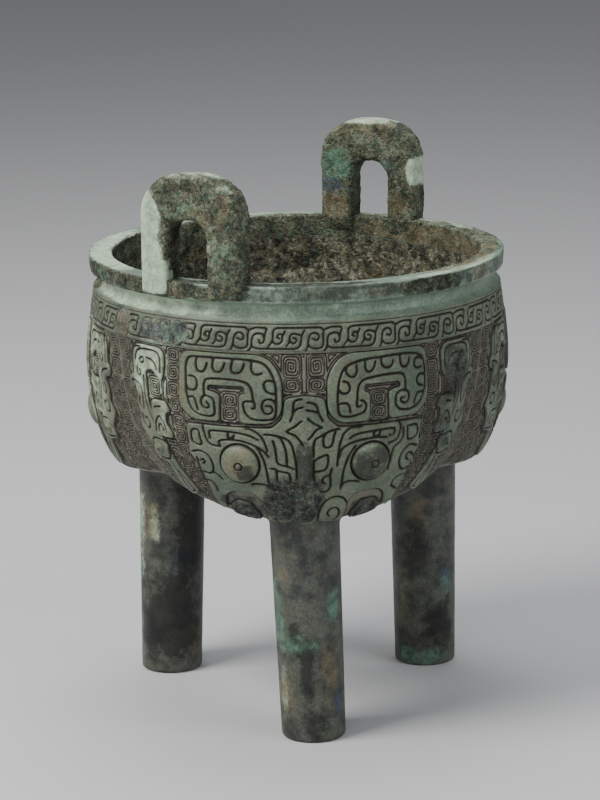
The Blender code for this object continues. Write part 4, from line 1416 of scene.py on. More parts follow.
@dataclass(frozen=True)
class Underside(Plain):
    """Plain sooty underside between the legs."""

    name: str = "underside"
    roughness: tuple[float, float] = (0.35, 0.1)
    step: float = 0.0016
    columns: int = 240
    smooth_end: float = 0.002
    soot: Grain = Grain(0.014, 71)
    crust: Grain = Grain(0.018, 75)

    def cast(self) -> Cast:
        """Lay rings over the bowl's skin, from the lobes' lowest points inward.

        Returns:
            The underside's surface.
        """
        distance, turn = rings(FORM.levels(FORM.side_length, self.step), self.columns)
        cast = grid_cast(FORM.skin(turn, distance), self.columns)
        cast.masks = stained(np.zeros((len(distance), 2)), cast.points, ())
        cast.masks["dark"] = limited(0.75 + 0.5 * self.soot.layered(cast.points))
        cast.masks["crust"] = limited(0.3 + 1.2 * self.crust.layered(cast.points))
        inward = np.minimum(distance - FORM.side_length, FORM.length - distance)
        cast.roughen(*self.roughness, limited(inward / self.smooth_end))
        return cast


@dataclass(frozen=True)
class Inside(Plain):
    """Crusted inside of the bowl; patches lie by angle in degrees and depth in millimetres."""

    name: str = "inside"
    roughness: tuple[float, float] = (1.3, 0.25)
    step: float = 0.0011
    columns: int = 440
    lip_radius: float = 0.0798
    lip_height: float = 0.1863
    lip_depth: float = -6.0
    smooth_lip: float = 4.0
    calm_depth: float = 30.0
    crust: Grain = Grain(0.02, 81)
    patches: tuple[Patch, ...] = (
        *Stain.RUST.at((160, 12, 38, 16, 0.7), (20, 20, 50, 14, 0.4)),
        *Stain.PALE.at((215, 14, 24, 12, 0.5), (165, 26, 30, 10, 0.5)),
        *Stain.DARK.at(
            (235, 28, 40, 22, 0.7), (125, 22, 24, 10, 0.6), (-60, 20, 50, 20, 0.5), (0, 78, 200, 26, 0.6)),
        *Stain.BLUE.at((205, 22, 10, 5, 0.5)),
        *Stain.GREEN.at((120, 12, 16, 7, 0.5)),
    )

    def cast(self) -> Cast:
        """Lay rings a wall's thickness under the bowl's skin, and one under the lip.

        Returns:
            The lining's surface, facing in.
        """
        distance, turn = rings(FORM.levels(0.0, self.step), self.columns)
        lining = FORM.skin(turn, distance) - FORM.wall * FORM.normal(turn, distance)
        angle = around(self.columns)
        top = FORM.on_axis(np.full(self.columns, self.lip_radius), angle, self.lip_height)
        cast = grid_cast(np.concatenate((top, lining)), self.columns)
        cast.faces = cast.faces[:, ::-1]
        depth = np.concatenate((np.full(self.columns, self.lip_depth), distance / MM))
        spots = np.stack((np.degrees(np.concatenate((angle, turn))), depth), axis=1)
        cast.masks = stained(spots, cast.points, self.patches, FULL_TURN)
        crust = 0.85 - 0.45 * limited((depth - self.calm_depth) / self.calm_depth)
        cast.masks["crust"] = limited(crust + 0.5 * self.crust.layered(cast.points))
        cast.roughen(*self.roughness, limited((depth - self.lip_depth) / self.smooth_lip))
        return cast


class Spot(Enum):
    """The place of a leg; the value is the number of its lobe, from the one towards -Y."""

    LEFT = 0
    FRONT = 1
    RIGHT = 2


@dataclass(frozen=True)
class Leg(Plain):
    """One round leg, whose top follows the lobe that it grows from.

    Patches lie by the angle round the leg in degrees, and the height in millimetres.
    """

    spot: Spot
    patches: tuple[Patch, ...] = ()
    foot_radius: float = 0.0135
    top_radius: float = 0.0147
    lean: float = 0.0
    splay: float = 0.0017
    fillet: float = 0.0026
    rounding: float = 0.0016
    columns: int = 104
    step: float = 0.0010
    roughness: tuple[float, float] = (0.3, 0.09)
    ragged: float = 0.55
    soft: float = 0.7
    smooth_foot: float = 4.0
    smooth_top: tuple[float, float] = (92.0, 6.0)

    @property
    def name(self) -> str:
        """Name of the piece."""
        return f"leg_{self.spot.name.lower()}"

    def spots_on_floor(self) -> tuple[np.ndarray, np.ndarray]:
        """Find where the leg stands.

        Returns:
            The middle of its foot and of its top, seen from above.
        """
        turn = 2.0 * math.pi * self.spot.value / FORM.lobes
        radius, foot_turn = np.array([FORM.low_radius]), np.array([FORM.first_foot + turn])
        foot = FORM.on_axis(radius + self.splay, foot_turn, 0.0)[0, :2]
        top = FORM.on_axis(radius, np.array([FORM.first_lobe + turn]), 0.0)[0, :2]
        aside = FORM.first_foot + turn + math.pi / 2.0
        return foot + self.lean * np.array((math.cos(aside), math.sin(aside))), top

    def cast(self) -> Cast:
        """Lay rings from the fillet under the bowl down to the foot's underside.

        Returns:
            The leg's surface.
        """
        foot, top = self.spots_on_floor()
        angle = around(self.columns)
        out = np.stack((np.cos(angle), np.sin(angle)), axis=1)
        rows = []
        for quarter in np.linspace(math.pi / 2.0, 0.0, 6):
            spots = top + out * (self.top_radius + self.fillet * (1.0 - math.cos(quarter)))
            height = FORM.underside_at(spots) - self.fillet * (1.0 - math.sin(quarter))
            rows.append(np.column_stack((spots, height)))
        under = rows[-1][:, 2]
        for share in np.linspace(1.0, 0.0, round(FORM.bottom / self.step))[1:]:
            height = self.rounding + (under - self.rounding) * share
            radius = self.foot_radius + (self.top_radius - self.foot_radius) * share
            rows.append(np.column_stack((foot + (top - foot) * share + out * radius, height)))
        for quarter in np.linspace(0.0, math.pi / 2.0, 5)[1:]:
            radius = self.foot_radius - self.rounding * (1.0 - math.cos(quarter))
            height = np.full(self.columns, self.rounding * (1.0 - math.sin(quarter)))
            rows.append(np.column_stack((foot + out * radius, height)))
        rows.append(np.column_stack((foot + out * self.rounding, np.zeros(self.columns))))
        cast = grid_cast(np.concatenate(rows), self.columns)
        spots = np.stack((np.degrees(np.tile(angle, len(rows))), cast.points[:, 2] / MM), axis=1)
        cast.masks = stained(
            spots, cast.points, self.patches, FULL_TURN, self.ragged, self.soft)
        top_end, top_reach = self.smooth_top
        below_top = limited((top_end - spots[:, 1]) / top_reach)
        cast.roughen(*self.roughness, limited(spots[:, 1] / self.smooth_foot) * below_top)
        return cast


LEGS = (
    Leg(Spot.LEFT, (
        *Stain.PALE.at((-46, 68, 30, 30, 0.55), (-4, 70, 18, 12, 0.4)),
        *Stain.GREEN.at((-56, 52, 24, 30, 0.5), (-50, 14, 20, 14, 0.6)),
        *Stain.RUST.at((-8, 72, 24, 14, 0.6), (84, 14, 22, 10, 0.5)),
        *Stain.DARK.at(
            (72, 62, 58, 34), (20, 27, 92, 24, 1.1), (200, 40, 60, 40, 0.6), (10, 80, 16, 6, 0.7)),
        *Stain.BLUE.at((50, 54, 34, 12, 0.45)),
    )),
    Leg(Spot.FRONT, (
        *Stain.GREEN.at((-40, 54, 30, 20, 0.6), (76, 58, 26, 16, 0.6), (20, 44, 50, 8, 0.4)),
        *Stain.RUST.at((-16, 76, 18, 10, 0.45), (-26, 18, 30, 18, 0.6), (60, 30, 24, 20, 0.55)),
        *Stain.PALE.at((-30, 24, 20, 22, 0.4)),
        *Stain.DARK.at(
            (20, 28, 20, 26, 0.85), (34, 8, 30, 9, 0.7), (120, 60, 36, 40, 0.5), (2, 48, 14, 7, 0.7),
            (-44, 84, 20, 8, 0.4)),
        *Stain.BLUE.at((82, 17, 12, 7, 0.8), (20, 66, 22, 12, 0.3)),
    ), lean=0.0012),
    Leg(Spot.RIGHT, (
        *Stain.DARK.at(
            (10, 56, 30, 16, 0.8), (60, 18, 44, 18, 0.8), (-60, 66, 26, 30, 0.5),
            (180, 50, 60, 44, 0.5)),
        *Stain.BLUE.at((70, 40, 26, 10, 0.5)),
        *Stain.GREEN.at((66, 38, 24, 10, 0.5), (20, 4, 80, 5, 0.6)),
        *Stain.RUST.at((-20, 34, 26, 20, 0.5), (14, 74, 28, 10, 0.5)),
        *Stain.PALE.at((-18, 34, 16, 12, 0.35)),
    )),
)


class Side(Enum):
    """The side of the bowl that a handle stands on."""

    RIGHT = 1
    LEFT = -1


@dataclass(frozen=True)
class Handle(Plain):
    """Upright loop handle on the rim.

    Patches lie by the place across the handle and the height, in millimetres: first
    those of the face that looks out of the bowl, then those of the face that looks in.
    """

    side: Side
    outer_patches: tuple[Patch, ...] = ()
    inner_patches: tuple[Patch, ...] = ()
    shift: float = 0.0
    opening_width: float = 0.0184
    width: float = 0.0464
    rise: float = 0.0442
    thickness: float = 0.0130
    shoulder: float = 0.0190
    opening_rise: float = 0.0254
    opening_arch: float = 0.0086
    proud: float = 0.0003
    root: float = 0.0115
    turn: float = math.radians(2.4)
    power: float = 2.35
    columns: int = 100
    base: float = 0.1970
    rim_radius: float = 0.0890
    lining_radius: float = 0.0808
    lining_reach: float = 0.009
    neck_radius: float = 0.0825
    lip_depth: float = 0.0058
    lip_rounding: float = 0.0009
    squareness: float = 0.38
    roughness: tuple[float, float] = (0.75, 0.1)
    smooth_end: tuple[float, float] = (191.4, 2.0)

    @property
    def name(self) -> str:
        """Name of the piece."""
        return f"handle_{self.side.name.lower()}"

    def arch(self, half: float, crown: float, arch: float) -> np.ndarray:
        """Outline of an arch from one foot to the other.

        Args:
            half: Half its width.
            crown: Its height over the floor.
            arch: Height of its curved part.

        Returns:
            Points as rows of across and height.
        """
        turn = np.linspace(0.0, math.pi / 2.0, 62)
        straight = np.linspace(self.base - self.root, crown - arch, 40)[:-1]
        across = half * np.maximum(np.cos(turn), 0.0) ** (2.0 / self.power)
        height = crown - arch + arch * np.sin(turn) ** (2.0 / self.power)
        across = np.concatenate((np.full(len(straight), half), across))
        right = np.stack((across, np.concatenate((straight, height))), axis=1)
        return np.concatenate((right, (right * (-1.0, 1.0))[-2::-1]))

    def squared(self, waves: np.ndarray) -> np.ndarray:
        """Sine or cosine values, pushed out so that the section gets flat sides."""
        return np.sign(waves) * np.abs(waves) ** self.squareness

    def cast(self) -> Cast:
        """Sweep a rounded square section along the arch, and lead its feet over the rim.

        Returns:
            The handle's surface.
        """
        outer = self.arch(self.width / 2.0, self.base + self.rise, self.shoulder)
        inner = self.arch(
            self.opening_width / 2.0, self.base + self.opening_rise, self.opening_arch)
        span = inner + (self.shift, 0.0) - outer
        section = around(self.columns)
        share = 0.5 - 0.5 * self.squared(np.cos(section))
        depth = 0.5 * self.squared(np.sin(section)) * self.thickness
        middle = self.rim_radius + self.proud - self.thickness / 2.0
        facing = -self.turn if self.side is Side.RIGHT else math.pi + self.turn
        outward = np.array((math.cos(facing), math.sin(facing)))
        sideways = np.array((-outward[1], outward[0]))
        place = outer[:, None, :] + span[:, None, :] * share[None, :, None]
        across, below = place[:, :, 0], self.base - place[:, :, 1]
        lining = np.sqrt(self.lining_radius ** 2 - across ** 2)
        neck = np.sqrt(self.neck_radius ** 2 - across ** 2)
        out = np.broadcast_to(middle + depth, below.shape)
        inward = limited(below / self.lining_reach) ** 2
        under_lip = limited((below - self.lip_depth) / self.lip_rounding)
        out = np.where(
            depth < 0.0, out + np.maximum(lining - out, 0.0) * inward,
            out + np.minimum(neck - out, 0.0) * under_lip)
        flat = out[:, :, None] * outward + place[:, :, :1] * sideways
        points = np.concatenate((flat + np.array(FORM.axis), place[:, :, 1:]), axis=2)
        cast = grid_cast(points.reshape(-1, 3), self.columns)
        spots = place.reshape(-1, 2) / MM
        outside = np.tile(depth > 0.0, len(outer))
        cast.masks = stained(spots, cast.points, self.inner_patches)
        for label, mask in stained(spots, cast.points, self.outer_patches).items():
            cast.masks[label] = np.where(outside, mask, cast.masks[label])
        pale = cast.masks["pale"]
        cast.masks["crust"] = limited(1.0 - 1.6 * pale * (pale > 0.75))
        end, reach = self.smooth_end
        cast.roughen(*self.roughness, limited((spots[:, 1] - end) / reach))
        return cast


# The pale patches at about 242 mm, along the top of each handle, are painted highlights.
HANDLES = (
    Handle(Side.RIGHT, (
        *Stain.PALE.at(
            (-21.6, 211, 10.8, 27), (-19, 203, 10, 18), (9.3, 211, 2.6, 3, 0.6), (0, 242, 20, 3, 0.62),
            (17, 236, 5, 2.4, 0.6)),
        *Stain.RUST.at((4, 222, 9, 6, 0.45), (16, 228, 5, 12, 0.5)),
        *Stain.GREEN.at((-4, 227, 9, 5, 0.35), (17, 206, 6, 10, 0.4)),
        *Stain.BLUE.at((12, 233, 5, 3, 0.35)),
        *Stain.DARK.at((0, 236.5, 14, 2.2, 0.5), (-6, 204, 4, 14, 0.5)),
    ), (
        *Stain.DARK.at((0, 212, 13, 16, 0.8)),
        *Stain.PALE.at((0, 242, 20, 4.5, 0.7)),
        *Stain.RUST.at((0, 226, 18, 9, 0.4)),
        *Stain.GREEN.at((15, 206, 6, 12, 0.5)),
    ), shift=-0.0011),
    Handle(Side.LEFT, (
        *Stain.PALE.at((-20, 219, 6, 8, 0.9), (0, 241.5, 22, 3.2, 0.9)),
        *Stain.GREEN.at((8, 214, 8, 14, 0.5)),
        *Stain.RUST.at((-4, 228, 14, 7, 0.4)),
        *Stain.DARK.at((-18, 206, 6, 8, 0.8)),
        *Stain.BLUE.at((14, 224, 6, 5, 0.4)),
    ), (
        *Stain.GREEN.at((14, 221, 8.5, 8, 0.85), (-8, 212, 3, 13, 0.7)),
        *Stain.BLUE.at((17, 211, 6, 4.2, 0.85), (-11, 222, 4, 5, 0.4)),
        *Stain.RUST.at((16, 202, 7, 6, 0.75), (-15, 203, 7, 9, 0.6), (0, 236, 20, 6, 0.45)),
        *Stain.PALE.at((0, 243, 20, 4, 0.9), (-22, 219, 3, 7, 0.9)),
        *Stain.DARK.at((-17, 209, 4.5, 8, 0.6)),
    ), shift=-0.0008, opening_width=0.0168),
)


# Finishes

class Board:
    """Shader tree with short ways to add its nodes."""

    def __init__(self, tree: bpy.types.NodeTree) -> None:
        """Work on a tree."""
        self.tree = tree

    def node(self, kind: str, settings: dict[str, object] | None = None,
             **values: object) -> bpy.types.Node:
        """Add a node.

        Args:
            kind: Its type, without the word ShaderNode.
            settings: Its own settings.
            values: Numbers, colours or sockets for its inputs, with _ for a space in a name.

        Returns:
            The node.
        """
        node = self.tree.nodes.new("ShaderNode" + kind)
        for name, value in (settings or {}).items():
            setattr(node, name, value)
        for name, value in values.items():
            self.feed(node.inputs[name.replace("_", " ")], value)
        return node

    def feed(self, entry: Socket, value: object) -> None:
        """Give an input a value, or wire it to another node's output.

        Args:
            entry: The input.
            value: A number, a colour or an output.
        """
        if isinstance(value, Socket):
            self.tree.links.new(value, entry)
        elif isinstance(value, tuple) and len(value) == 3 and entry.type == "RGBA":
            entry.default_value = (*value, 1.0)
        else:
            entry.default_value = value

    def math(self, kind: str, *values: object) -> Socket:
        """Calculate with values.

        Args:
            kind: The calculation, by its name in the Math node.
            values: Two or three numbers or outputs.

        Returns:
            The result.
        """
        node = self.node("Math", {"operation": kind})
        for entry, value in zip(node.inputs, values):
            self.feed(entry, value)
        return node.outputs[0]

    def eased(self, value: object, low: float, high: float, top: float = 1.0) -> Socket:
        """Soft step of a value, from 0 at a low level to a top at a high one."""
        node = self.node(
            "MapRange", {"interpolation_type": "SMOOTHSTEP"}, Value=value, From_Min=low,
            From_Max=high, To_Min=0.0, To_Max=top)
        return node.outputs[0]

    def blend(self, first: object, second: object, factor: object,
              kind: str = "MIX") -> Socket:
        """Mix two colours.

        Args:
            first: The colour underneath.
            second: The colour laid over it.
            factor: The share of the second.
            kind: The way of mixing, by its name in the Mix node.

        Returns:
            The mixed colour.
        """
        node = self.node("Mix", {"data_type": "RGBA", "blend_type": kind})
        for number, value in ((0, factor), (6, first), (7, second)):
            self.feed(node.inputs[number], value)
        return node.outputs[2]

    def noise(self, scale: object, detail: float, lively: float = 0.6) -> Socket:
        """Make a cloudy value over the surface.

        Args:
            scale: How small the clouds are.
            detail: How many finer layers they have.
            lively: How strong the finer layers are.

        Returns:
            The value, around 0.5.
        """
        place = self.node("TexCoord").outputs["Object"]
        node = self.node(
            "TexNoise", None, Vector=place, Scale=scale, Detail=detail, Roughness=lively)
        return node.outputs["Fac"]


Sockets = dict[str, Socket]


class Effect:
    """Shader group that several finishes share, built the first time it is placed."""

    NAME = ""
    INPUTS: tuple[tuple[str, str], ...] = ()
    OUTPUTS: tuple[tuple[str, str], ...] = ()

    def wire(self, board: Board, given: Sockets) -> Sockets:
        """Build the inside of the group.

        Args:
            board: The group's tree.
            given: The group's inputs by name.

        Returns:
            What goes to its outputs, by name.
        """
        raise NotImplementedError

    def tree(self) -> bpy.types.NodeTree:
        """Find the group's tree, or build it.

        Returns:
            The tree.
        """
        made = bpy.data.node_groups.get(self.NAME)
        if made:
            return made
        tree = bpy.data.node_groups.new(self.NAME, "ShaderNodeTree")
        for way, sockets in (("INPUT", self.INPUTS), ("OUTPUT", self.OUTPUTS)):
            for name, kind in sockets:
                tree.interface.new_socket(name=name, in_out=way, socket_type="NodeSocket" + kind)
        board = Board(tree)
        entry = tree.nodes.new("NodeGroupInput")
        leave = tree.nodes.new("NodeGroupOutput")
        made = self.wire(board, {name: entry.outputs[name] for name, _ in self.INPUTS})
        for name, socket in made.items():
            tree.links.new(socket, leave.inputs[name])
        return tree

    def place(self, board: Board, **values: object) -> Sockets:
        """Place the group in a material.

        Args:
            board: The material's tree.
            values: Values or sockets for the group's inputs.

        Returns:
            The group's outputs by name.
        """
        node = board.tree.nodes.new("ShaderNodeGroup")
        node.node_tree = self.tree()
        for name, value in values.items():
            board.feed(node.inputs[name], value)
        return {name: node.outputs[name] for name, _ in self.OUTPUTS}


class Mottling(Effect):
    """Cloudy patina of three tones, with fine specks."""

    NAME = "patina_mottling"
    INPUTS = (("Light", "Color"), ("Deep", "Color"), ("Third", "Color"), ("Scale", "Float"))
    OUTPUTS = (("Color", "Color"), ("Tone", "Float"))
    SMALLER = 3.3
    SPECKS = 1100.0
    SPECK_TINTS = ((0.62, 0.62, 0.6), (1.32, 1.32, 1.3))

    def wire(self, board: Board, given: Sockets) -> Sockets:
        """Mix the tones by clouds of two sizes."""
        wide = board.eased(board.noise(given["Scale"], 5.0), 0.38, 0.66)
        finer = board.math("MULTIPLY", given["Scale"], self.SMALLER)
        small = board.eased(board.noise(finer, 4.0), 0.5, 0.72, 0.7)
        color = board.blend(given["Light"], given["Deep"], wide)
        color = board.blend(color, given["Third"], small)
        speck = board.eased(board.noise(self.SPECKS, 3.0, 0.7), 0.25, 0.75)
        tint = board.blend(*self.SPECK_TINTS, speck)
        return {"Color": board.blend(color, tint, 1.0, "MULTIPLY"), "Tone": speck}


class Crusting(Effect):
    """Granular corrosion in which each grain has its own mineral colour."""

    NAME = "crust_grains"
    SHARES = {
        "Dark": 0.0, "Brown": 0.24, "Green": 0.40, "Olive": 0.52, "Rust": 0.68, "Pale": 0.80}
    SOFT = 0.03
    STIR_SCALE = 420.0
    STIR = 0.0028
    CLOUDS = 150.0
    CELL_SIZES = (1.0, 2.3)
    INPUTS = (("Scale", "Float"),) + tuple((name, "Color") for name in SHARES)
    OUTPUTS = (("Color", "Color"), ("Height", "Float"))

    def wire(self, board: Board, given: Sockets) -> Sockets:
        """Colour cells of two sizes, each cell by chance and by broad clouds."""
        place = board.node("TexCoord").outputs["Object"]
        stir = board.node("TexNoise", None, Vector=place, Scale=self.STIR_SCALE, Detail=2.0)
        moved = board.node("VectorMath", {"operation": "MULTIPLY_ADD"})
        for entry, value in zip(moved.inputs, (stir.outputs["Color"], (self.STIR,) * 3, place)):
            board.feed(entry, value)
        clouds = board.math("MULTIPLY_ADD", board.noise(self.CLOUDS, 4.0), 1.5, -0.75)
        made = []
        for factor in self.CELL_SIZES:
            scale = board.math("MULTIPLY", given["Scale"], factor)
            cells = board.node("TexVoronoi", None, Vector=moved.outputs[0], Scale=scale)
            chance = board.node("SeparateColor", None, Color=cells.outputs["Color"]).outputs[0]
            pick = board.math("ADD", board.math("MULTIPLY_ADD", chance, 0.8, 0.08), clouds)
            color = given["Dark"]
            for name, level in list(self.SHARES.items())[1:]:
                reached = board.eased(pick, level - self.SOFT, level + self.SOFT)
                color = board.blend(color, given[name], reached)
            made.append((color, board.math("SUBTRACT", 1.0, cells.outputs["Distance"])))
        color = board.blend(made[0][0], made[1][0], 0.5)
        height = board.math("ADD", made[0][1], board.math("MULTIPLY", made[1][1], 0.5))
        return {"Color": color, "Height": height}


class Grooving(Effect):
    """Dark soil left in the carving's grooves, and painted shade along the feet of the raised forms."""

    NAME = "groove_earth_and_plate_shade"
    INPUTS = (
        ("Color", "Color"), ("Halo", "Color"), ("Earth", "Color"), ("Field", "Color"), ("Cut", "Float"),
        ("Ground", "Float"))
    OUTPUTS = (("Color", "Color"), ("Mask", "Float"))
    CLOUDS = 260.0
    FIELD_SHARE = 0.85

    def wire(self, board: Board, given: Sockets) -> Sockets:
        """Tint the ground, then darken the grooves from a brown edge to their black middle, and paint shade
        the same way along the feet of the raised forms.
        """
        share = board.math("MULTIPLY", given["Ground"], self.FIELD_SHARE)
        color = board.blend(given["Color"], given["Field"], share)
        clouds = board.math("MULTIPLY_ADD", board.noise(self.CLOUDS, 4.0), 0.7, -0.35)
        level = board.math("ADD", given["Cut"], clouds)
        color = board.blend(color, given["Halo"], board.eased(level, 0.02, 0.42, 0.75))
        deep = board.eased(level, 0.3, 0.85, 0.95)
        return {"Color": board.blend(color, given["Earth"], deep), "Mask": deep}


class Staining(Effect):
    """Broad stains of soot, malachite, azurite, iron rust and bare pale bronze; some of the pale stains, on
    the rim's top, the neck and the handles' tops, are painted highlights.
    """

    NAME = "broad_stains"
    TINTS = {
        "pale": ((0.36, 0.45, 0.335), 0.9), "green": ((0.080, 0.180, 0.122), 0.7),
        "rust": ((0.150, 0.114, 0.060), 0.6), "blue": ((0.036, 0.054, 0.100), 0.75),
        "dark": ((0.19, 0.20, 0.20), 0.94),
    }
    INPUTS = (("Color", "Color"),) + tuple((name, "Float") for name in TINTS)
    OUTPUTS = (("Color", "Color"),)
    BLOTCHES = 300.0
    UNEVEN = ((0.55, 0.57, 0.53), (1.35, 1.33, 1.36))
    CLOUDS = 115.0
    CLOUDS_APART = 35.0

    def wire(self, board: Board, given: Sockets) -> Sockets:
        """Lay one stain over the other, each uneven and broken up by its own clouds."""
        color = given["Color"]
        blotches = board.eased(board.noise(self.BLOTCHES, 7.0, 0.78), 0.3, 0.7)
        uneven = board.blend(*self.UNEVEN, blotches)
        for number, (name, (tint, most)) in enumerate(self.TINTS.items()):
            scale = self.CLOUDS + self.CLOUDS_APART * number
            cloud = board.math("MULTIPLY_ADD", board.noise(scale, 8.0, 0.82), 3.0, -1.5)
            share = board.eased(board.math("ADD", given[name], cloud), 0.1, 0.85, most)
            share = board.math("MULTIPLY", share, board.eased(given[name], 0.0, 0.35))
            under, over = (color, tint) if name == "dark" else (tint, uneven)
            color = board.blend(color, board.blend(under, over, 1.0, "MULTIPLY"), share)
        return {"Color": color}


@dataclass(frozen=True)
class Finish:
    """Patinated bronze surface: three tones of patina, and the minerals of its crust."""

    name: str
    light: Color
    deep: Color
    third: Color
    minerals: tuple[Color, ...]
    scale: float
    smooth: float
    grain: float = 700.0
    field: Color = (0.118, 0.106, 0.080)
    halo: Color = (0.040, 0.034, 0.024)
    # Colour of the soil in the grooves, also used for the painted shade along the feet of the raised forms
    earth: Color = (0.009, 0.008, 0.007)
    specular: float = 0.36
    field_share: float = 0.75
    field_stains: float = 0.8
    grain_stains: float = 0.72
    crust_edge: float = 330.0
    pitting: float = 520.0
    bump: float = 0.6
    bump_depth: float = 0.0008

    def material(self) -> bpy.types.Material:
        """Build the material.

        Returns:
            The material.
        """
        material = bpy.data.materials.new(self.name)
        material.use_nodes = True
        board = Board(material.node_tree)
        shader = material.node_tree.nodes["Principled BSDF"]
        shader.inputs["Specular IOR Level"].default_value = self.specular
        masks = {
            name: board.node("Attribute", {"attribute_name": name}).outputs["Fac"]
            for name in (*Staining.TINTS, "crust", "cut", "ground")}
        crust, cut, ground = (masks.pop(name) for name in ("crust", "cut", "ground"))
        patina = Mottling().place(
            board, Light=self.light, Deep=self.deep, Third=self.third, Scale=self.scale)
        skin = Staining().place(board, Color=patina["Color"], **masks)["Color"]
        field = self.stained_less(
            board, board.blend(patina["Color"], self.field, self.field_share), masks, self.field_stains)
        grooves = Grooving().place(
            board, Color=skin, Halo=self.halo, Earth=self.earth, Field=field, Cut=cut, Ground=ground)
        grains = Crusting().place(
            board, Scale=self.grain, **dict(zip(Crusting.SHARES, self.minerals)))
        grainy = self.stained_less(board, grains["Color"], masks, self.grain_stains)
        ragged = board.math("MULTIPLY_ADD", board.noise(self.crust_edge, 5.0), 1.0, -0.5)
        crusted = board.eased(board.math("ADD", crust, ragged), 0.35, 0.6)
        color = board.blend(grooves["Color"], grainy, crusted)
        board.feed(shader.inputs["Base Color"], color)
        matt = board.math("MULTIPLY", board.math("MAXIMUM", crusted, grooves["Mask"]), 0.9)
        worn = board.math("MULTIPLY_ADD", patina["Tone"], 0.16, self.smooth)
        board.feed(shader.inputs["Roughness"], board.math("MAXIMUM", worn, matt))
        height = board.math(
            "ADD", board.math("MULTIPLY", grains["Height"], crusted),
            board.math("MULTIPLY", board.noise(self.pitting, 6.0, 0.7), 0.6))
        bump = board.node(
            "Bump", None, Height=height, Strength=self.bump, Distance=self.bump_depth)
        board.feed(shader.inputs["Normal"], bump.outputs["Normal"])
        return material

    @staticmethod
    def stained_less(board: Board, color: object, masks: Sockets,
                     share: float) -> Socket:
        """Lay the stains over a colour with only a share of their masks."""
        weaker = {name: board.math("MULTIPLY", mask, share) for name, mask in masks.items()}
        return Staining().place(board, Color=color, **weaker)["Color"]


GREEN_CRUST = (
    (0.010, 0.011, 0.009), (0.040, 0.034, 0.022), (0.036, 0.086, 0.056), (0.080, 0.094, 0.060),
    (0.112, 0.084, 0.044), (0.160, 0.186, 0.134))
TAN_CRUST = (
    (0.009, 0.010, 0.010), (0.044, 0.041, 0.027), (0.058, 0.080, 0.058), (0.112, 0.112, 0.074),
    (0.140, 0.114, 0.064), (0.260, 0.262, 0.196))
SEA_CRUST = (
    (0.016, 0.018, 0.018), (0.060, 0.050, 0.034), (0.055, 0.110, 0.085), (0.060, 0.082, 0.088),
    (0.140, 0.104, 0.060), (0.170, 0.190, 0.152))
RELIEF = Finish(
    "sage_relief", (0.118, 0.143, 0.100), (0.064, 0.086, 0.062), (0.098, 0.092, 0.062),
    SEA_CRUST, 50.0, 0.40, 880.0)
NECK = Finish(
    "celadon_neck", (0.175, 0.235, 0.185), (0.115, 0.160, 0.124), (0.105, 0.128, 0.095),
    GREEN_CRUST, 40.0, 0.34, 900.0)
LEG = Finish(
    "smoky_leg", (0.070, 0.076, 0.061), (0.018, 0.021, 0.020), (0.050, 0.045, 0.028),
    GREEN_CRUST, 120.0, 0.38)
LINING = Finish(
    "earthy_lining", (0.100, 0.096, 0.070), (0.040, 0.038, 0.030), (0.105, 0.080, 0.045),
    TAN_CRUST, 70.0, 0.6, 560.0)
HANDLE = Finish(
    "crusted_handle", (0.120, 0.140, 0.096), (0.076, 0.088, 0.062), (0.094, 0.080, 0.050),
    GREEN_CRUST, 90.0, 0.45, 940.0)


@dataclass(frozen=True)
class SoftLight:
    """Square light that looks at the vessel, from angles in degrees and a distance in metres."""

    name: str
    azimuth: float
    elevation: float
    distance: float
    size: float
    power: float
    color: Color
    aim: float = 0.12

    def hang(self) -> None:
        """Hang the light."""
        light = bpy.data.lights.new(self.name, "AREA")
        light.size = self.size
        light.energy = self.power
        light.color = self.color
        azimuth, elevation = math.radians(self.azimuth), math.radians(self.elevation)
        level = math.cos(elevation)
        away = Vector((math.cos(azimuth) * level, math.sin(azimuth) * level, math.sin(elevation)))
        rig = bpy.data.objects.new(self.name, light)
        rig.location = away * self.distance + Vector((0.0, 0.0, self.aim))
        rig.rotation_euler = away.to_track_quat("Z", "Y").to_euler()
        bpy.context.scene.collection.objects.link(rig)


LIGHTS = (
    SoftLight("key", -34.0, 48.0, 1.3, 0.6, 24.0, (1.0, 0.99, 0.96)),
    SoftLight("fill", 84.0, 30.0, 1.6, 0.9, 11.0, (0.95, 0.98, 1.0)),
    SoftLight("front", 14.0, 16.0, 1.9, 1.0, 8.0, (0.98, 1.0, 1.0)),
    SoftLight("top", -150.0, 74.0, 1.3, 0.7, 11.0, (0.98, 0.99, 1.0)),
)


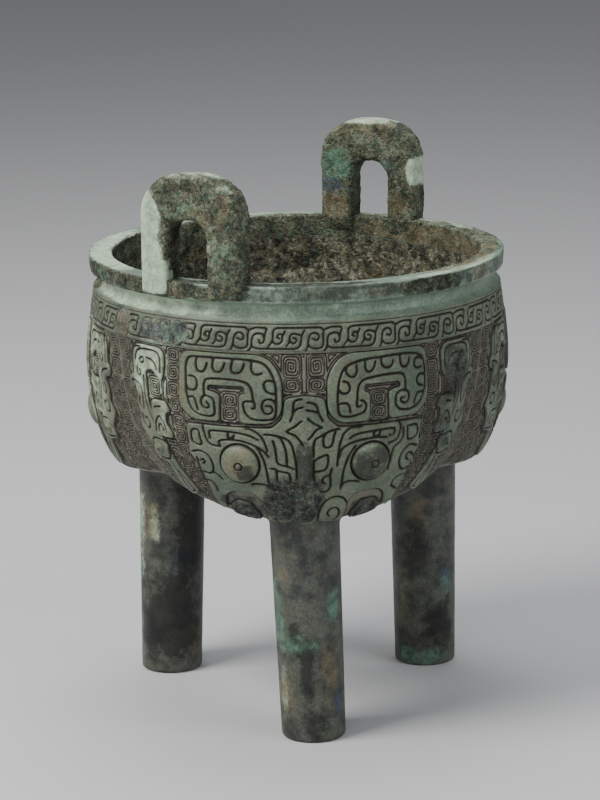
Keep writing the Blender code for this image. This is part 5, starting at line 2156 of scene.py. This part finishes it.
@dataclass(frozen=True)
class Studio:
    """Plain pale floor, soft light and the camera at the photograph's angle."""

    lens: float = 143.2
    sensor: float = 36.0
    azimuth: float = math.radians(27.2)
    distance: float = 1.3452
    height: float = 0.4473
    pitch: float = math.radians(13.297)
    roll: float = math.radians(-0.841)
    aside: float = 0.00065
    floor: float = 4.0
    floor_color: tuple[float, ...] = (0.46, 0.46, 0.47, 1.0)
    air_color: tuple[float, ...] = (0.80, 0.82, 0.84, 1.0)
    air_strength: float = 0.30

    def add_camera(self) -> None:
        """Place the camera."""
        camera = bpy.data.cameras.new("photo_camera")
        camera.sensor_fit = "VERTICAL"
        camera.sensor_height = self.sensor
        camera.lens = self.lens
        camera.clip_end = 20.0
        rig = bpy.data.objects.new("photo_camera", camera)
        flat = Vector((-math.cos(self.azimuth), -math.sin(self.azimuth), 0.0))
        up = Vector((0.0, 0.0, 1.0))
        ahead = flat * math.cos(self.pitch) - up * math.sin(self.pitch)
        over = flat * math.sin(self.pitch) + up * math.cos(self.pitch)
        right = Vector((-math.sin(self.azimuth), math.cos(self.azimuth), 0.0))
        cos, sin = math.cos(self.roll), math.sin(self.roll)
        turned = Matrix((right * cos + over * sin, over * cos - right * sin, -ahead)).transposed()
        rig.matrix_world = turned.to_4x4()
        rig.location = Vector((*FORM.axis, self.height)) - flat * self.distance + right * self.aside
        bpy.context.scene.collection.objects.link(rig)
        bpy.context.scene.camera = rig

    def add_floor(self) -> None:
        """Lay the floor."""
        mesh = bpy.data.meshes.new("floor")
        corners = ((-1, -1, 0), (1, -1, 0), (1, 1, 0), (-1, 1, 0))
        mesh.from_pydata([Vector(corner) * self.floor for corner in corners], [], [(0, 1, 2, 3)])
        material = bpy.data.materials.new("pale floor")
        material.use_nodes = True
        shader = material.node_tree.nodes["Principled BSDF"]
        shader.inputs["Base Color"].default_value = self.floor_color
        shader.inputs["Roughness"].default_value = 0.8
        mesh.materials.append(material)
        floor = bpy.data.objects.new("floor", mesh)
        bpy.context.scene.collection.objects.link(floor)

    def build(self) -> None:
        """Build the whole studio."""
        self.add_camera()
        self.add_floor()
        for light in LIGHTS:
            light.hang()
        world = bpy.data.worlds.new("studio air")
        world.use_nodes = True
        air = world.node_tree.nodes["Background"]
        air.inputs["Color"].default_value = self.air_color
        air.inputs["Strength"].default_value = self.air_strength
        bpy.context.scene.world = world


def main() -> None:
    """Build every piece of the vessel, then the studio round it."""
    logging.basicConfig(level=logging.INFO, format="%(message)s")
    carving = Carving(FORM)
    relief = RELIEF.material()
    for lobe, name in enumerate(("lobe_left", "lobe_front", "lobe_right")):
        carving.build(lobe, name, relief)
    leg = LEG.material()
    Collar().build(NECK.material())
    Underside().build(leg)
    Inside().build(LINING.material())
    for form in LEGS:
        form.build(leg)
    handle = HANDLE.material()
    for form in HANDLES:
        form.build(handle)
    Studio().build()


if __name__ == "__main__":
    main()
